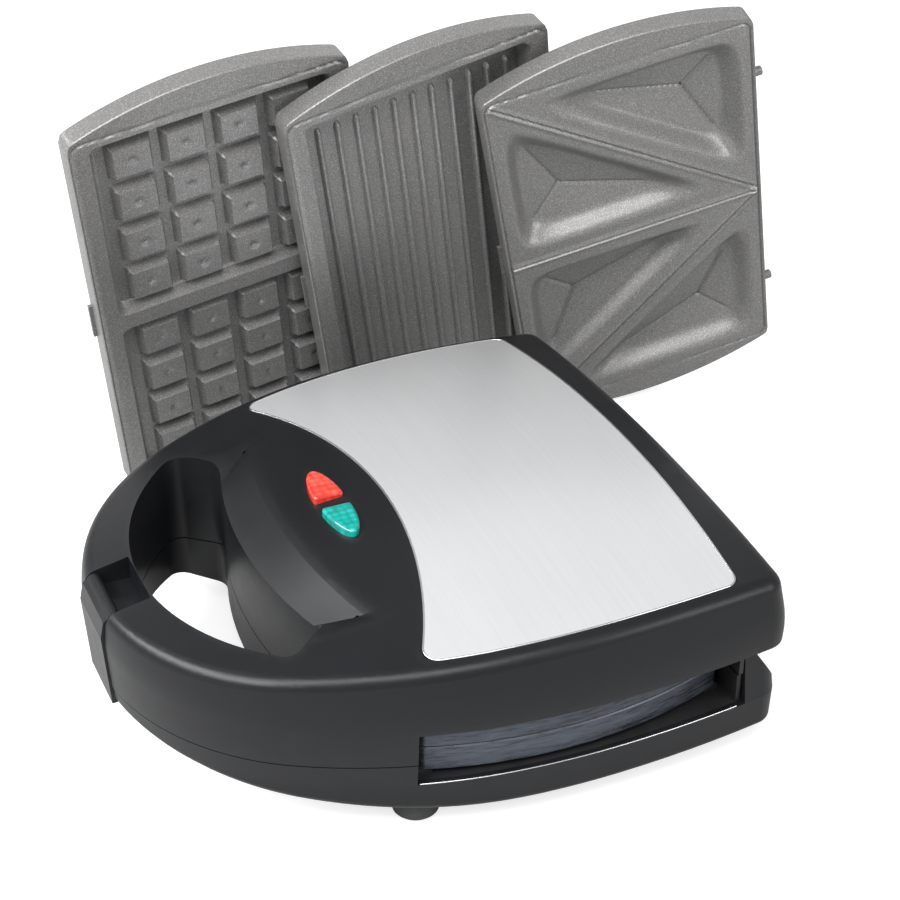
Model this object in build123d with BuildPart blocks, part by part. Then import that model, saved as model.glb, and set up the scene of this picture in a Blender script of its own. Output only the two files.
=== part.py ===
from build123d import *
from math import atan2, cos, degrees, radians, sin, sqrt, tan
import os

# Toasted-sandwich maker with three kinds of clip-in cooking plate, in millimetres.
# X runs across the machine, +Y runs back to the hinge, +Z is up and the table is z = 0.

os.makedirs("parts", exist_ok=True)

# ---------------------------------------------------------------- outline of both housings
HALF_WIDTH = 122.0        # at the widest station
WIDEST_Y = 48.0
FRONT_REACH = 179.0       # from the widest station to the front of the handle
NOSE_R = 106.0            # plan radius of the front of the handle
NOSE_ANGLE = 30.0         # where the nose arc ends, degrees
CHEEK_ANGLE = 8.0         # where the cheek arc ends, degrees
REAR_Y = 126.5
REAR_DRAW = 5.8           # how far the sides come in at the back
CORNER_R = 12.0
FRONT_Y = WIDEST_Y - FRONT_REACH

# ---------------------------------------------------------------- heights
FLOOR_Z = 10.3            # underside of the base
FLOOR_RISE_Y = 17.0       # forward of here the underside curves up to the handle
FLOOR_RISE_R = 540.0
RIM_Z = 26.0              # top of the base rim beside the plates
SEAM_Z = 36.0             # top of the base at the handle
SEAM_GAP = 0.6
SKIRT_Z = 51.5            # bottom of the lid beside the plates
WAIST_Z = 61.0            # widest height of the lid
MEET_Z = 39.7             # where the two cooking plates meet
MEET_GAP = 0.4
LID_LOW_Z = SEAM_Z + SEAM_GAP

# ---------------------------------------------------------------- crown of the lid
CROWN_Z = 92.2
CROWN_Y = 64.0
CROWN_RX = 681.0          # radius across the machine
CROWN_RY = 908.0          # radius front to back
CROWN_SWEEP = 15.0
CROWN_HALF = 135.0
CROWN_DEPTH = 72.0

# ---------------------------------------------------------------- walls and drafts
WALL = 2.8
SHOULDER_TAPER = 12.0
SKIRT_TAPER = 3.5
WAIST_R = 50.0
BROW_R = 6.5              # rounding where the lid's top meets its side
BASE_INSET = 2.4
BASE_TAPER = 2.0
BASE_FLARE = 4.0
KEEL_R = 3.0
WINDOW_FRONT_Y = -35.0    # the plates' edges show at the sides behind here
WINDOW_REAR_Y = 106.2
WINDOW_R = 3.0
BLOCK_TOP_Z = 48.0        # top of the base's rear block
BLOCK_TAPER = 8.0
SLOPE_TOP_Y = 111.4
SLOPE_LOW_Y = 123.4
SLOPE_LOW_Z = 30.0

# ---------------------------------------------------------------- finger gap and thumb scoop
RING_WIDTH = 21.6
RING_R = 100.0
GAP_END_X = 78.0
PALM_Y = -64.0            # body side of the finger gap
PALM_R = 205.0
PALM_END_X = 63.0
GAP_CORNER_R = 7.0
SCOOP_Z = 73.0
SCOOP_HALF = 56.0
SCOOP_TAPER = 56.0
SCOOP_RISE = 17.0
SCOOP_FRONT_Y = -78.0
CREST_R = 20.0            # rounding from the lid's top into the scoop

# ---------------------------------------------------------------- hinge
HINGE_Y = 116.9
HINGE_Z = 48.4
HINGE_X = 70.0
HINGE_PIN_R = 2.0
PIN_RUN = 0.06
PIN_SEAT = 0.02
KNUCKLE_R = 4.5
EAR_T = 4.0
ARM_T = 4.0
EAR_GAP = 1.5
ARM_FRONT_Y = 96.0
ARM_RISE = 10.5           # height of the arm above the lid's liner
ARM_TOP_Y = 110.5
FLANGE_T = 2.0
FLANGE_HALF = 12.0
FLANGE_DEEP = 8.0
RIVET_R = 1.5
RIVET_HEAD_R = 2.6
RIVET_HEAD_T = 1.0
RIVET_REACH = 8.0         # from the hinge's station to a rivet, along X

# ---------------------------------------------------------------- latch
LATCH_HALF = 15.0
LATCH_GAP = 0.5
LATCH_PIN_Y = -124.5
LATCH_PIN_Z = 68.5
LATCH_PIN_R = 1.25
LATCH_KNUCKLE_R = 3.0
LATCH_T = 4.3
LATCH_FLOOR_Z = 65.0
LATCH_LOW_Z = 28.0
CHEEK_T = 4.0
PAD_T = 5.5
LATCH_PIN_HALF = 18.5
LATCH_FLUSH = 0.2

# ---------------------------------------------------------------- cooking plates
PLATE_L = 230.0           # with its crescent ends
PLATE_W = 133.0
CRESCENT = 12.0
PLATE_Y = 34.0
PLATE_T = 2.6
PLATE_RIM = 10.5
PLATE_RIM_T = 2.4
PLATE_CORNER_R = 5.0
GROOVE_W = 1.4
GROOVE_DEPTH = 1.0
CELL_IN_X = 4.0           # where the cells start beside the plate's middle
CELL_END_X = 97.0
CELL_HALF_W = 54.0
DIVIDER = 3.0             # half the ridge between two cells
POCKET_DEPTH = 8.5
POCKET_TAPER = 32.0
POCKET_DIP = 3.4
POCKET_R = 8.0
PAN_END_X = 98.0
PAN_HALF_W = 57.0
PAN_DEPTH = 9.5
WAFFLE_DEPTH = 7.0
PAN_TAPER = 18.0
PAN_R = 6.0
PEG_PITCH_X = 22.6
PEG_PITCH_Y = 25.4
PEG_X = 19.0
PEG_Y = 21.6
PEG_H = 5.4
PEG_TAPER = 23.0
PEG_DIMPLE = 1.6
PEG_DIMPLE_R = 2.4
PEG_CORNER_R = 2.0
PEG_COUNT = 4
RIB_COUNT = 11
RIB_PITCH = 9.6
RIB_W = 2.6
RIB_H = 2.4
RIB_SOFT = 0.3
RIB_END = 10.0             # how far the ribs stop short of the pan's rim
LOCK_PIN_X = 67.0
LOCK_PIN_R = 2.4
LOCK_PIN_L = 5.4
LOCK_PIN_Z = 6.5
LUG_HALF = 9.0
LUG_OUT = 1.8
LUG_TOP = 8.5
LUG_LOW = 10.3

# ---------------------------------------------------------------- liners
LINER_T = 2.0
LINER_FIT = 0.4
LINER_OPEN_X = 98.5
LINER_OPEN_W = 59.5
STEP_Y = -36.5            # front face of the liners' step wall
TAB_Y = 104.2             # wall that takes the plates' locking pins
TAB_T = 2.0
PIN_FIT = 0.4
SEAT = 6.0
SEAT_IN = 3.0

# ---------------------------------------------------------------- heaters
TRAY_X = 97.0
TRAY_W = 58.0
TRAY_T = 0.8
TRAY_LIP = 3.5
TRAY_Z = 15.6
TRAY_GAP = 0.1
TUBE_R = 3.3
TUBE_Z = 20.0
BEND_R = 30.0
TUBE_END_X = 95.4
TUBE_BEND_X = -60.0
TERMINAL_R = 1.3
TERMINAL_L = 6.0
INSULATOR_R = 2.8
INSULATOR_L = 7.0
SADDLE_X = 10.0
SADDLE_Y = 12.0
SADDLE_AT = 55.0
TRAY_R = 8.0
THERMOSTAT_R = 8.0
THERMOSTAT_H = 7.0
FUSE_R = 2.5
FUSE_L = 14.0
FUSE_X = -30.0

# ---------------------------------------------------------------- panel and lamps
PANEL_INSET = 9.8
PANEL_T = 0.8
PANEL_PROUD = 0.15
PANEL_GAP = 0.5
PANEL_FRONT_Y = -4.1
PANEL_FRONT_R = 210.0
PANEL_REAR_Y = 106.6
PANEL_REAR_R = 1400.0
PANEL_CORNER_R = 6.0
LAMP_X = 3.6
LAMP_Y = -26.0
LAMP_L = 21.0
LAMP_W = 6.6
LAMP_GAP = 0.2
LAMP_PROUD = 2.6
LAMP_CORNER_R = 1.6
NEON_R = 2.5
NEON_L = 13.0
LENS_FLANGE = 1.0
LENS_FLANGE_T = 1.2
LAMP_DOME_R = 1.6
HOLDER_DROP = 2.7         # below the lid's roof
HOLDER_HALF = 31.0
HOLDER_DEEP = 9.0
HOLDER_T = 2.0
HOLDER_POST_R = 2.2

# ---------------------------------------------------------------- feet, screws, small parts
FOOT_X = 92.0
FRONT_FOOT_Y = -29.0
REAR_FOOT_Y = 92.0
FOOT_R = 9.5
FOOT_STEM_R = 3.0
FOOT_FIT = 0.1
FOOT_SEAT_Z = 8.6
FOOT_CHAMFER = 1.2
FOOT_PAD_R = 10.5
FOOT_STEM_L = 4.0
BOSS_R = 4.2
SCREW_OUT_X = 77.0        # front pair near the corners
SCREW_MID_X = 40.0        # front pair near the middle
SCREW_FRONT_Y = -32.0
SCREW_REAR_X = 87.0
SCREW_REAR_Y = 99.8
SCREW_R = 1.5
SCREW_L = 11.0
SCREW_HEAD_R = 3.0
SCREW_HEAD_H = 1.8
PILOT_FIT = 0.06
PILOT_END = 1.0           # hole left beyond a screw's tip
GLAND_X = 45.0
GLAND_Z = 18.5
GLAND_R = 5.2
GLAND_BORE_R = 3.3
GLAND_OUT_Y = 125.9
GLAND_FLANGE_R = 7.2
GLAND_FLANGE_T = 1.6
GLAND_TAIL = 3.0
BLOCK_X = -15.0           # terminal block
BLOCK_Y = 107.0
BLOCK_LONG = 40.0
BLOCK_DEEP = 12.0
BLOCK_HIGH = 10.0
BLOCK_WAYS = 4

# ---------------------------------------------------------------- release slides
SLIDE_TRAVEL = 4.0
SLIDE_HALF = 12.0
SLIDE_T = 2.2
SLIDE_BACK_Y = -54.0
NOSE_TIP_Y = -32.8
NOSE_HALF = 8.0
SLIDE_FIT = 0.3
THUMB_Y = -46.0
THUMB_HALF = 8.0
THUMB_LONG = 4.0
RAIL_T = 2.0
RAIL_END_Y = -59.5
NOSE_LIFT = 0.2           # gap between the slide's nose and the plate's lug

# ---------------------------------------------------------------- loose plates beside the machine
# each loose plate: x, y, turn about the upright, lean towards the machine, tilt to the front
WAFFLE_PLACE = (-156.0, -13.2, 5.0, 10.8, 8.0)
GRILL_PLACE = (-149.8, 88.2, 4.5, 11.0, 11.8)
SANDWICH_PLACE = (-132.2, 186.5, -6.2, 13.5, 13.6)


# ================================================================ shared shapes
def flank_radii():
    """Radii of the two flank arcs that carry the nose arc round to the widest station."""
    c1, s1 = cos(radians(CHEEK_ANGLE)), sin(radians(CHEEK_ANGLE))
    c2, s2 = cos(radians(NOSE_ANGLE)), sin(radians(NOSE_ANGLE))
    across = HALF_WIDTH - NOSE_R * c2
    along = FRONT_REACH - NOSE_R * (1 - s2)
    det = (1 - c1) * (s2 - s1) - (c1 - c2) * s1
    flank = (across * (s2 - s1) - (c1 - c2) * along) / det
    cheek = ((1 - c1) * along - across * s1) / det
    return flank, cheek


FLANK_R, CHEEK_R = flank_radii()
NOSE_CY = FRONT_Y + NOSE_R
CHEEK_C = ((NOSE_R - CHEEK_R) * cos(radians(NOSE_ANGLE)),
           NOSE_CY - (NOSE_R - CHEEK_R) * sin(radians(NOSE_ANGLE)))
TAIL_LONG = REAR_Y - WIDEST_Y
TAIL_R = (TAIL_LONG ** 2 + REAR_DRAW ** 2) / (2 * REAR_DRAW)
TAIL_CX = HALF_WIDTH - TAIL_R
CORNER_CY = REAR_Y - CORNER_R
CORNER_CX = TAIL_CX + sqrt((TAIL_R - CORNER_R) ** 2 - (CORNER_CY - WIDEST_Y) ** 2)
TAIL_ANGLE = degrees(atan2(CORNER_CY - WIDEST_Y, CORNER_CX - TAIL_CX))


def outline(inset):
    """Plan of the housings: tangent arcs with shared centres, so every inset is exact."""
    with BuildSketch() as plan:
        with BuildLine():
            CenterArc((0, NOSE_CY), NOSE_R - inset, -90, 90 - NOSE_ANGLE)
            CenterArc(CHEEK_C, CHEEK_R - inset, -NOSE_ANGLE, NOSE_ANGLE - CHEEK_ANGLE)
            CenterArc((HALF_WIDTH - FLANK_R, WIDEST_Y), FLANK_R - inset, -CHEEK_ANGLE, CHEEK_ANGLE)
            CenterArc((TAIL_CX, WIDEST_Y), TAIL_R - inset, 0, TAIL_ANGLE)
            CenterArc((CORNER_CX, CORNER_CY), CORNER_R - inset, TAIL_ANGLE, 90 - TAIL_ANGLE)
            Line((CORNER_CX, REAR_Y - inset), (0, REAR_Y - inset))
            mirror(about=Plane.YZ)
        make_face()
    return plan.sketch


def crowned(lower):
    """Everything under the lid's doubly curved top, lowered by the given amount."""
    lean = radians(CROWN_SWEEP)
    pivot = (0, CROWN_Y, CROWN_Z - CROWN_RY)
    start = Plane(origin=pivot, x_dir=(1, 0, 0), z_dir=(0, -cos(lean), sin(lean)))
    radius = CROWN_RX - lower
    edge_y = CROWN_RY - CROWN_RX + sqrt(radius ** 2 - CROWN_HALF ** 2)
    low_y = CROWN_RY - CROWN_DEPTH
    with BuildPart() as block:
        with BuildSketch(start):
            with BuildLine():
                ThreePointArc((-CROWN_HALF, edge_y), (0, CROWN_RY - lower), (CROWN_HALF, edge_y))
                Polyline((CROWN_HALF, edge_y), (CROWN_HALF, low_y),
                         (-CROWN_HALF, low_y), (-CROWN_HALF, edge_y))
            make_face()
        revolve(axis=Axis(pivot, (1, 0, 0)), revolution_arc=2 * CROWN_SWEEP)
    return block.part


def lid_block(inset, lower, low_z):
    """Solid lid shape: skirt below the waist, leaning shoulder above it, crowned top."""
    with BuildPart() as block:
        with BuildSketch(Plane.XY.offset(WAIST_Z)):
            add(outline(inset))
        extrude(amount=CROWN_Z - WAIST_Z, taper=SHOULDER_TAPER)
        with BuildSketch(Plane.XY.offset(WAIST_Z)):
            add(outline(inset))
        extrude(amount=-(WAIST_Z - low_z), taper=SKIRT_TAPER)
        add(crowned(lower), mode=Mode.INTERSECT)
    return block.part


def grip_gap(grow):
    """Plan of the finger gap between the handle and the body, widened all round by grow."""
    ring_cy = FRONT_Y + RING_WIDTH + RING_R
    ring_end = (GAP_END_X, ring_cy - sqrt(RING_R ** 2 - GAP_END_X ** 2))
    palm_end = (PALM_END_X, PALM_Y + PALM_R - sqrt(PALM_R ** 2 - PALM_END_X ** 2))
    with BuildSketch() as plan:
        with BuildLine():
            ThreePointArc((-ring_end[0], ring_end[1]), (0, FRONT_Y + RING_WIDTH), ring_end)
            Line(ring_end, palm_end)
            ThreePointArc(palm_end, (0, PALM_Y), (-palm_end[0], palm_end[1]))
            Line((-palm_end[0], palm_end[1]), (-ring_end[0], ring_end[1]))
        make_face()
        fillet(plan.vertices(), GAP_CORNER_R)
        if grow:
            offset(amount=grow)
    return plan.sketch


def thumb_scoop(grow):
    """Flared cut that leads the thumb from the lid's top down into the finger gap."""
    with BuildPart() as scoop:
        with BuildSketch(Plane.XY.offset(SCOOP_Z - grow)):
            add(grip_gap(0))
            with Locations((0, SCOOP_FRONT_Y)):
                Rectangle(2 * SCOOP_HALF, HALF_WIDTH, align=(Align.CENTER, Align.MIN),
                          mode=Mode.INTERSECT)
            offset(amount=grow)
        extrude(amount=SCOOP_RISE + grow, taper=-SCOOP_TAPER)
    return scoop.part


def underside(lift):
    """Everything below the base's underside, which curves up towards the handle."""
    y_end = FRONT_Y - WALL
    rise = FLOOR_RISE_R - sqrt(FLOOR_RISE_R ** 2 - (FLOOR_RISE_Y - y_end) ** 2)
    y_mid = (FLOOR_RISE_Y + y_end) / 2
    rise_mid = FLOOR_RISE_R - sqrt(FLOOR_RISE_R ** 2 - (FLOOR_RISE_Y - y_mid) ** 2)
    z = FLOOR_Z + lift
    with BuildPart() as under:
        with BuildSketch(Plane.YZ):
            with BuildLine():
                ThreePointArc((y_end, z + rise), (y_mid, z + rise_mid), (FLOOR_RISE_Y, z))
                Polyline((FLOOR_RISE_Y, z), (REAR_Y + WALL, z), (REAR_Y + WALL, -FLOOR_Z),
                         (y_end, -FLOOR_Z), (y_end, z + rise))
            make_face()
        extrude(amount=HALF_WIDTH, both=True)
    return under.part


def slab(x_span, y_span, z_span):
    """A plain block between two values on each axis."""
    with BuildPart() as block:
        with BuildSketch(Plane.XY.offset(z_span[0])):
            with Locations((x_span[0], y_span[0])):
                Rectangle(x_span[1] - x_span[0], y_span[1] - y_span[0],
                          align=(Align.MIN, Align.MIN))
        extrude(amount=z_span[1] - z_span[0])
    return block.part


def rear_slope(drop):
    """Everything behind and above the rear block's slope, which clears the opened lid."""
    run, fall = SLOPE_LOW_Y - SLOPE_TOP_Y, BLOCK_TOP_Z - SLOPE_LOW_Z
    length = sqrt(run ** 2 + fall ** 2)
    y_off, z_off = drop * fall / length, drop * run / length
    top = (SLOPE_TOP_Y - y_off, BLOCK_TOP_Z - z_off)
    low = (SLOPE_LOW_Y + run - y_off, SLOPE_LOW_Z - fall - z_off)
    with BuildPart() as wedge:
        with BuildSketch(Plane.YZ):
            with BuildLine():
                Polyline(top, low, (low[0] + CORNER_R, low[1]), (low[0] + CORNER_R, CROWN_Z),
                         (top[0], CROWN_Z), top)
            make_face()
        extrude(amount=HALF_WIDTH, both=True)
    return wedge.part


def base_block(inset, lift):
    """Solid base shape: tub up to the rim, handle part up to the seam, rear block behind."""
    with BuildPart() as front:
        with BuildSketch(Plane.XY.offset(RIM_Z)):
            add(outline(BASE_INSET + inset))
        extrude(amount=SEAM_Z + inset - RIM_Z, taper=-BASE_FLARE)
        add(slab((-HALF_WIDTH, HALF_WIDTH), (WINDOW_FRONT_Y, REAR_Y), (RIM_Z, CROWN_Z)),
            mode=Mode.SUBTRACT)
    with BuildPart() as block:
        with BuildSketch(Plane.XY.offset(RIM_Z)):
            add(outline(BASE_INSET + inset))
        extrude(amount=BLOCK_TOP_Z - RIM_Z, taper=BLOCK_TAPER)
        add(slab((-HALF_WIDTH, HALF_WIDTH), (WINDOW_REAR_Y + inset, REAR_Y), (RIM_Z, CROWN_Z)),
            mode=Mode.INTERSECT)
        add(rear_slope(inset), mode=Mode.SUBTRACT)
        with BuildSketch(Plane.XY.offset(RIM_Z)):
            add(outline(BASE_INSET + inset))
        extrude(amount=-RIM_Z, taper=BASE_TAPER)
        add(front.part)
        add(underside(lift), mode=Mode.SUBTRACT)
    return block.part


def crown_z(x, y):
    """Height of the lid's top."""
    across = CROWN_RY - CROWN_RX + sqrt(CROWN_RX ** 2 - x ** 2)
    return CROWN_Z - CROWN_RY + sqrt(across ** 2 - (y - CROWN_Y) ** 2)


def slope_z(y):
    """Height of the rear block's slope."""
    return BLOCK_TOP_Z - (y - SLOPE_TOP_Y) * (BLOCK_TOP_Z - SLOPE_LOW_Z) / (SLOPE_LOW_Y - SLOPE_TOP_Y)


def rod(radius, x_span, y, z):
    """A round bar along X."""
    with BuildPart() as bar:
        with BuildSketch(Plane.YZ.offset(x_span[0])):
            with Locations((y, z)):
                Circle(radius)
        extrude(amount=x_span[1] - x_span[0])
    return bar.part


def post(radius, x, y, z_span):
    """A round column along Z."""
    with BuildPart() as column:
        with BuildSketch(Plane.XY.offset(z_span[0])):
            with Locations((x, y)):
                Circle(radius)
        extrude(amount=z_span[1] - z_span[0])
    return column.part


def side_profile(points, half, x_mid=0.0):
    """A closed outline in the side view, extruded both ways from a station on X."""
    with BuildPart() as bar:
        with BuildSketch(Plane.YZ.offset(x_mid)):
            with BuildLine():
                Polyline(*points, close=True)
            make_face()
        extrude(amount=half, both=True)
    return bar.part


def write(piece, name):
    """Label a finished piece and write its STEP file."""
    piece.label = name
    export_step(piece, f"parts/{name}.step")


# ================================================================ places shared by several pieces
SIDES = (-1, 1)
LINER_TOP = RIM_Z                            # top of the base's liner
LINER_LOW = RIM_Z - LINER_T
LID_LINER_LOW = 2 * MEET_Z - LINER_TOP       # underside of the lid's liner
LID_LINER_TOP = LID_LINER_LOW + LINER_T
COVER_TOP = SEAM_Z                           # flat cover inside the base's handle part
COVER_LOW = COVER_TOP - LINER_T
LID_COVER_LOW = LID_LOW_Z + LINER_FIT
LID_COVER_TOP = LID_COVER_LOW + LINER_T
LOWER_MATE_Z = MEET_Z - MEET_GAP / 2
UPPER_MATE_Z = MEET_Z + MEET_GAP / 2
SCREWS = [(side * x, y) for side in SIDES
          for x, y in ((SCREW_OUT_X, SCREW_FRONT_Y), (SCREW_MID_X, SCREW_FRONT_Y),
                       (SCREW_REAR_X, SCREW_REAR_Y))]
FEET = [(side * FOOT_X, y) for side in SIDES for y in (FRONT_FOOT_Y, REAR_FOOT_Y)]
LAMP_PLACES = [side * (LAMP_X + LAMP_L / 2) for side in SIDES]
RECESS_HALF = LATCH_HALF + LATCH_GAP
CHANNEL_Y = FRONT_Y + LATCH_T + LATCH_GAP    # bottom of the channel for the latch's leg
LEG_BACK_Y = CHANNEL_Y - LATCH_GAP / 2
RING_BACK_Y = FRONT_Y + RING_WIDTH
LAMP_TOP_Z = crown_z(0, LAMP_Y) + LAMP_PROUD
HOLDER_TOP_Z = crown_z(0, LAMP_Y) - WALL - HOLDER_DROP
INSIDE_Z = FLOOR_Z + WALL
TRAY_LIP_TOP = LINER_LOW - TRAY_GAP
TRAY_TOP = TRAY_Z + TRAY_T
BASE_LINER_INSET = BASE_INSET + WALL + LINER_FIT
LID_LAND_INSET = WALL + LINER_FIT + (WAIST_Z - LID_LINER_LOW) * tan(radians(SKIRT_TAPER))
LID_COVER_INSET = WALL + LINER_FIT + (WAIST_Z - LID_COVER_LOW) * tan(radians(SKIRT_TAPER))
STEP_SPAN = (STEP_Y - LINER_T, STEP_Y)
TAB_SPAN = (TAB_Y - TAB_T / 2, TAB_Y + TAB_T / 2)
EAR_OUT = ARM_T / 2 + EAR_GAP + EAR_T        # from the hinge's station to an ear's outer face
RIVETS = [(side * HINGE_X + end * RIVET_REACH, ARM_FRONT_Y + FLANGE_DEEP / 2)
          for side in SIDES for end in SIDES]


def lamp_plan(side, grow):
    """Plan of one lamp: half an ellipse with its flat side towards the middle."""
    with BuildSketch() as plan:
        with Locations((side * LAMP_X, LAMP_Y)):
            Ellipse(LAMP_L + grow, LAMP_W + grow)
        with Locations((side * (LAMP_X - grow), LAMP_Y)):
            Rectangle(2 * LAMP_L, 4 * LAMP_W, mode=Mode.INTERSECT,
                      align=(Align.MIN if side > 0 else Align.MAX, Align.CENTER))
        fillet(plan.vertices(), LAMP_CORNER_R + grow)
    return plan.sketch


def panel_plan(grow):
    """Plan of the steel panel: the housing's outline with an arc across each end."""
    with BuildSketch() as plan:
        add(outline(PANEL_INSET - grow))
        with Locations((0, PANEL_REAR_Y - PANEL_REAR_R)):
            Circle(PANEL_REAR_R + grow, mode=Mode.INTERSECT)
        with Locations((0, PANEL_FRONT_Y - PANEL_FRONT_R)):
            Circle(PANEL_FRONT_R - grow, mode=Mode.SUBTRACT)
        rows = plan.vertices().group_by(Axis.Y)
        fillet(rows[0] + rows[-1], PANEL_CORNER_R)
    return plan.sketch


# ================================================================ lid shell
with BuildPart() as lid_cavity:
    add(lid_block(WALL, WALL, LID_LOW_Z - WALL))
    with BuildSketch():
        add(grip_gap(WALL))
    extrude(amount=CROWN_Z, mode=Mode.SUBTRACT)
    add(thumb_scoop(WALL), mode=Mode.SUBTRACT)
    add(slab((-RECESS_HALF - CHEEK_T, RECESS_HALF + CHEEK_T), (FRONT_Y, RING_BACK_Y),
             (LATCH_FLOOR_Z - WALL, CROWN_Z)), mode=Mode.SUBTRACT)
    add(slab((-RECESS_HALF - WALL, RECESS_HALF + WALL), (FRONT_Y, CHANNEL_Y + PAD_T),
             (0, LATCH_FLOOR_Z)), mode=Mode.SUBTRACT)
    for x, y in SCREWS:
        add(post(BOSS_R, x, y, (LID_LINER_TOP, CROWN_Z)), mode=Mode.SUBTRACT)

with BuildPart() as lid_outer:
    add(lid_block(0, 0, LID_LOW_Z))
    waist = lid_outer.edges().filter_by(
        lambda e: abs(e.bounding_box().min.Z - WAIST_Z) < 0.01
        and abs(e.bounding_box().max.Z - WAIST_Z) < 0.01)
    fillet(waist, WAIST_R)
    fillet(lid_outer.faces().sort_by(Axis.Z)[-1].edges(), BROW_R)

with BuildPart() as panel_seat:
    with BuildSketch():
        add(panel_plan(PANEL_GAP))
    extrude(amount=2 * CROWN_Z)
    add(crowned(PANEL_T - PANEL_PROUD), mode=Mode.SUBTRACT)

with BuildPart() as lid_form:
    add(lid_outer.part)
    add(thumb_scoop(0), mode=Mode.SUBTRACT)
    with BuildSketch():
        add(grip_gap(0))
    extrude(amount=CROWN_Z, mode=Mode.SUBTRACT)
    crest = lid_form.edges().filter_by(
        lambda e: e.bounding_box().min.Z > SCOOP_Z + 2 * WALL
        and e.bounding_box().max.Y < LAMP_Y and e.bounding_box().min.Y > SCOOP_FRONT_Y
        and e.length > 2 * GAP_CORNER_R)
    fillet(crest, CREST_R)

with BuildPart() as lid_shell:
    add(lid_form.part)
    add(lid_cavity.part, mode=Mode.SUBTRACT)
    # open at the sides and the back, where the cooking plates show
    add(slab((-HALF_WIDTH, HALF_WIDTH), (WINDOW_FRONT_Y, REAR_Y), (0, SKIRT_Z)),
        mode=Mode.SUBTRACT)
    add(panel_seat.part, mode=Mode.SUBTRACT)
    for side in SIDES:
        with BuildSketch(Plane.XY.offset(HOLDER_TOP_Z)):
            add(lamp_plan(side, LAMP_GAP))
        extrude(amount=CROWN_Z, mode=Mode.SUBTRACT)
    # recess and channel for the latch
    add(slab((-RECESS_HALF, RECESS_HALF), (FRONT_Y, RING_BACK_Y), (LATCH_FLOOR_Z, CROWN_Z)),
        mode=Mode.SUBTRACT)
    add(slab((-RECESS_HALF, RECESS_HALF), (FRONT_Y, CHANNEL_Y), (0, CROWN_Z)),
        mode=Mode.SUBTRACT)
    add(rod(LATCH_PIN_R + PIN_SEAT, (-LATCH_PIN_HALF, LATCH_PIN_HALF), LATCH_PIN_Y, LATCH_PIN_Z),
        mode=Mode.SUBTRACT)
    for x, y in SCREWS:
        add(post(SCREW_R + PILOT_FIT, x, y, (LID_LINER_LOW, LID_LINER_LOW + SCREW_L + PILOT_END)),
            mode=Mode.SUBTRACT)
write(lid_shell.part, "lid_shell")

# ================================================================ latch
with BuildPart() as latch_clip:
    face_y = FRONT_Y + LATCH_FLUSH
    skirt_in = (WAIST_Z - LATCH_LOW_Z) * tan(radians(SKIRT_TAPER))
    shoulder_in = (LATCH_PIN_Z - WAIST_Z) * tan(radians(SHOULDER_TAPER))
    add(side_profile([(face_y + skirt_in, LATCH_LOW_Z), (LEG_BACK_Y, LATCH_LOW_Z),
                      (LEG_BACK_Y, LATCH_FLOOR_Z + LATCH_GAP), (LATCH_PIN_Y, LATCH_PIN_Z),
                      (LATCH_PIN_Y, LATCH_PIN_Z + LATCH_KNUCKLE_R),
                      (face_y + shoulder_in, LATCH_PIN_Z), (face_y, WAIST_Z)], LATCH_HALF))
    add(rod(LATCH_KNUCKLE_R, (-LATCH_HALF, LATCH_HALF), LATCH_PIN_Y, LATCH_PIN_Z))
    add(rod(LATCH_PIN_R + PIN_RUN, (-LATCH_HALF, LATCH_HALF), LATCH_PIN_Y, LATCH_PIN_Z),
        mode=Mode.SUBTRACT)
write(latch_clip.part, "latch_clip")
write(rod(LATCH_PIN_R, (-LATCH_PIN_HALF, LATCH_PIN_HALF), LATCH_PIN_Y, LATCH_PIN_Z), "latch_pin")

# ================================================================ steel panel and lamps
with BuildPart() as top_panel:
    with BuildSketch():
        add(panel_plan(0))
    extrude(amount=2 * CROWN_Z)
    add(crowned(-PANEL_PROUD), mode=Mode.INTERSECT)
    add(crowned(PANEL_T - PANEL_PROUD), mode=Mode.SUBTRACT)
write(top_panel.part, "top_panel")


def lens(side):
    """A lamp's lens: domed above the lid, with a flange that sits on the lamp holder."""
    with BuildPart() as glass:
        with BuildSketch(Plane.XY.offset(HOLDER_TOP_Z)):
            add(lamp_plan(side, LENS_FLANGE))
        extrude(amount=LENS_FLANGE_T)
        with BuildSketch(Plane.XY.offset(HOLDER_TOP_Z)):
            add(lamp_plan(side, 0))
        extrude(amount=LAMP_TOP_Z - HOLDER_TOP_Z)
        fillet(glass.faces().sort_by(Axis.Z)[-1].edges(), LAMP_DOME_R)
    return glass.part


write(lens(-1), "red_lens")
write(lens(1), "green_lens")

with BuildPart() as lamp_holder:
    add(slab((-HOLDER_HALF, HOLDER_HALF), (LAMP_Y - HOLDER_DEEP, LAMP_Y + HOLDER_DEEP),
             (HOLDER_TOP_Z - HOLDER_T, HOLDER_TOP_Z)))
    for side in SIDES:
        add(post(HOLDER_POST_R, side * (HOLDER_HALF - HOLDER_POST_R), LAMP_Y,
                 (HOLDER_TOP_Z - HOLDER_T, CROWN_Z)))
    add(crowned(WALL), mode=Mode.INTERSECT)
    for x in LAMP_PLACES:
        add(post(NEON_R + PILOT_FIT, x, LAMP_Y, (0, CROWN_Z)), mode=Mode.SUBTRACT)
write(lamp_holder.part, "lamp_holder")

with BuildPart() as neon_lamps:
    for x in LAMP_PLACES:
        add(post(NEON_R, x, LAMP_Y, (HOLDER_TOP_Z - NEON_L, HOLDER_TOP_Z)))
write(neon_lamps.part, "neon_lamps")


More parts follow.
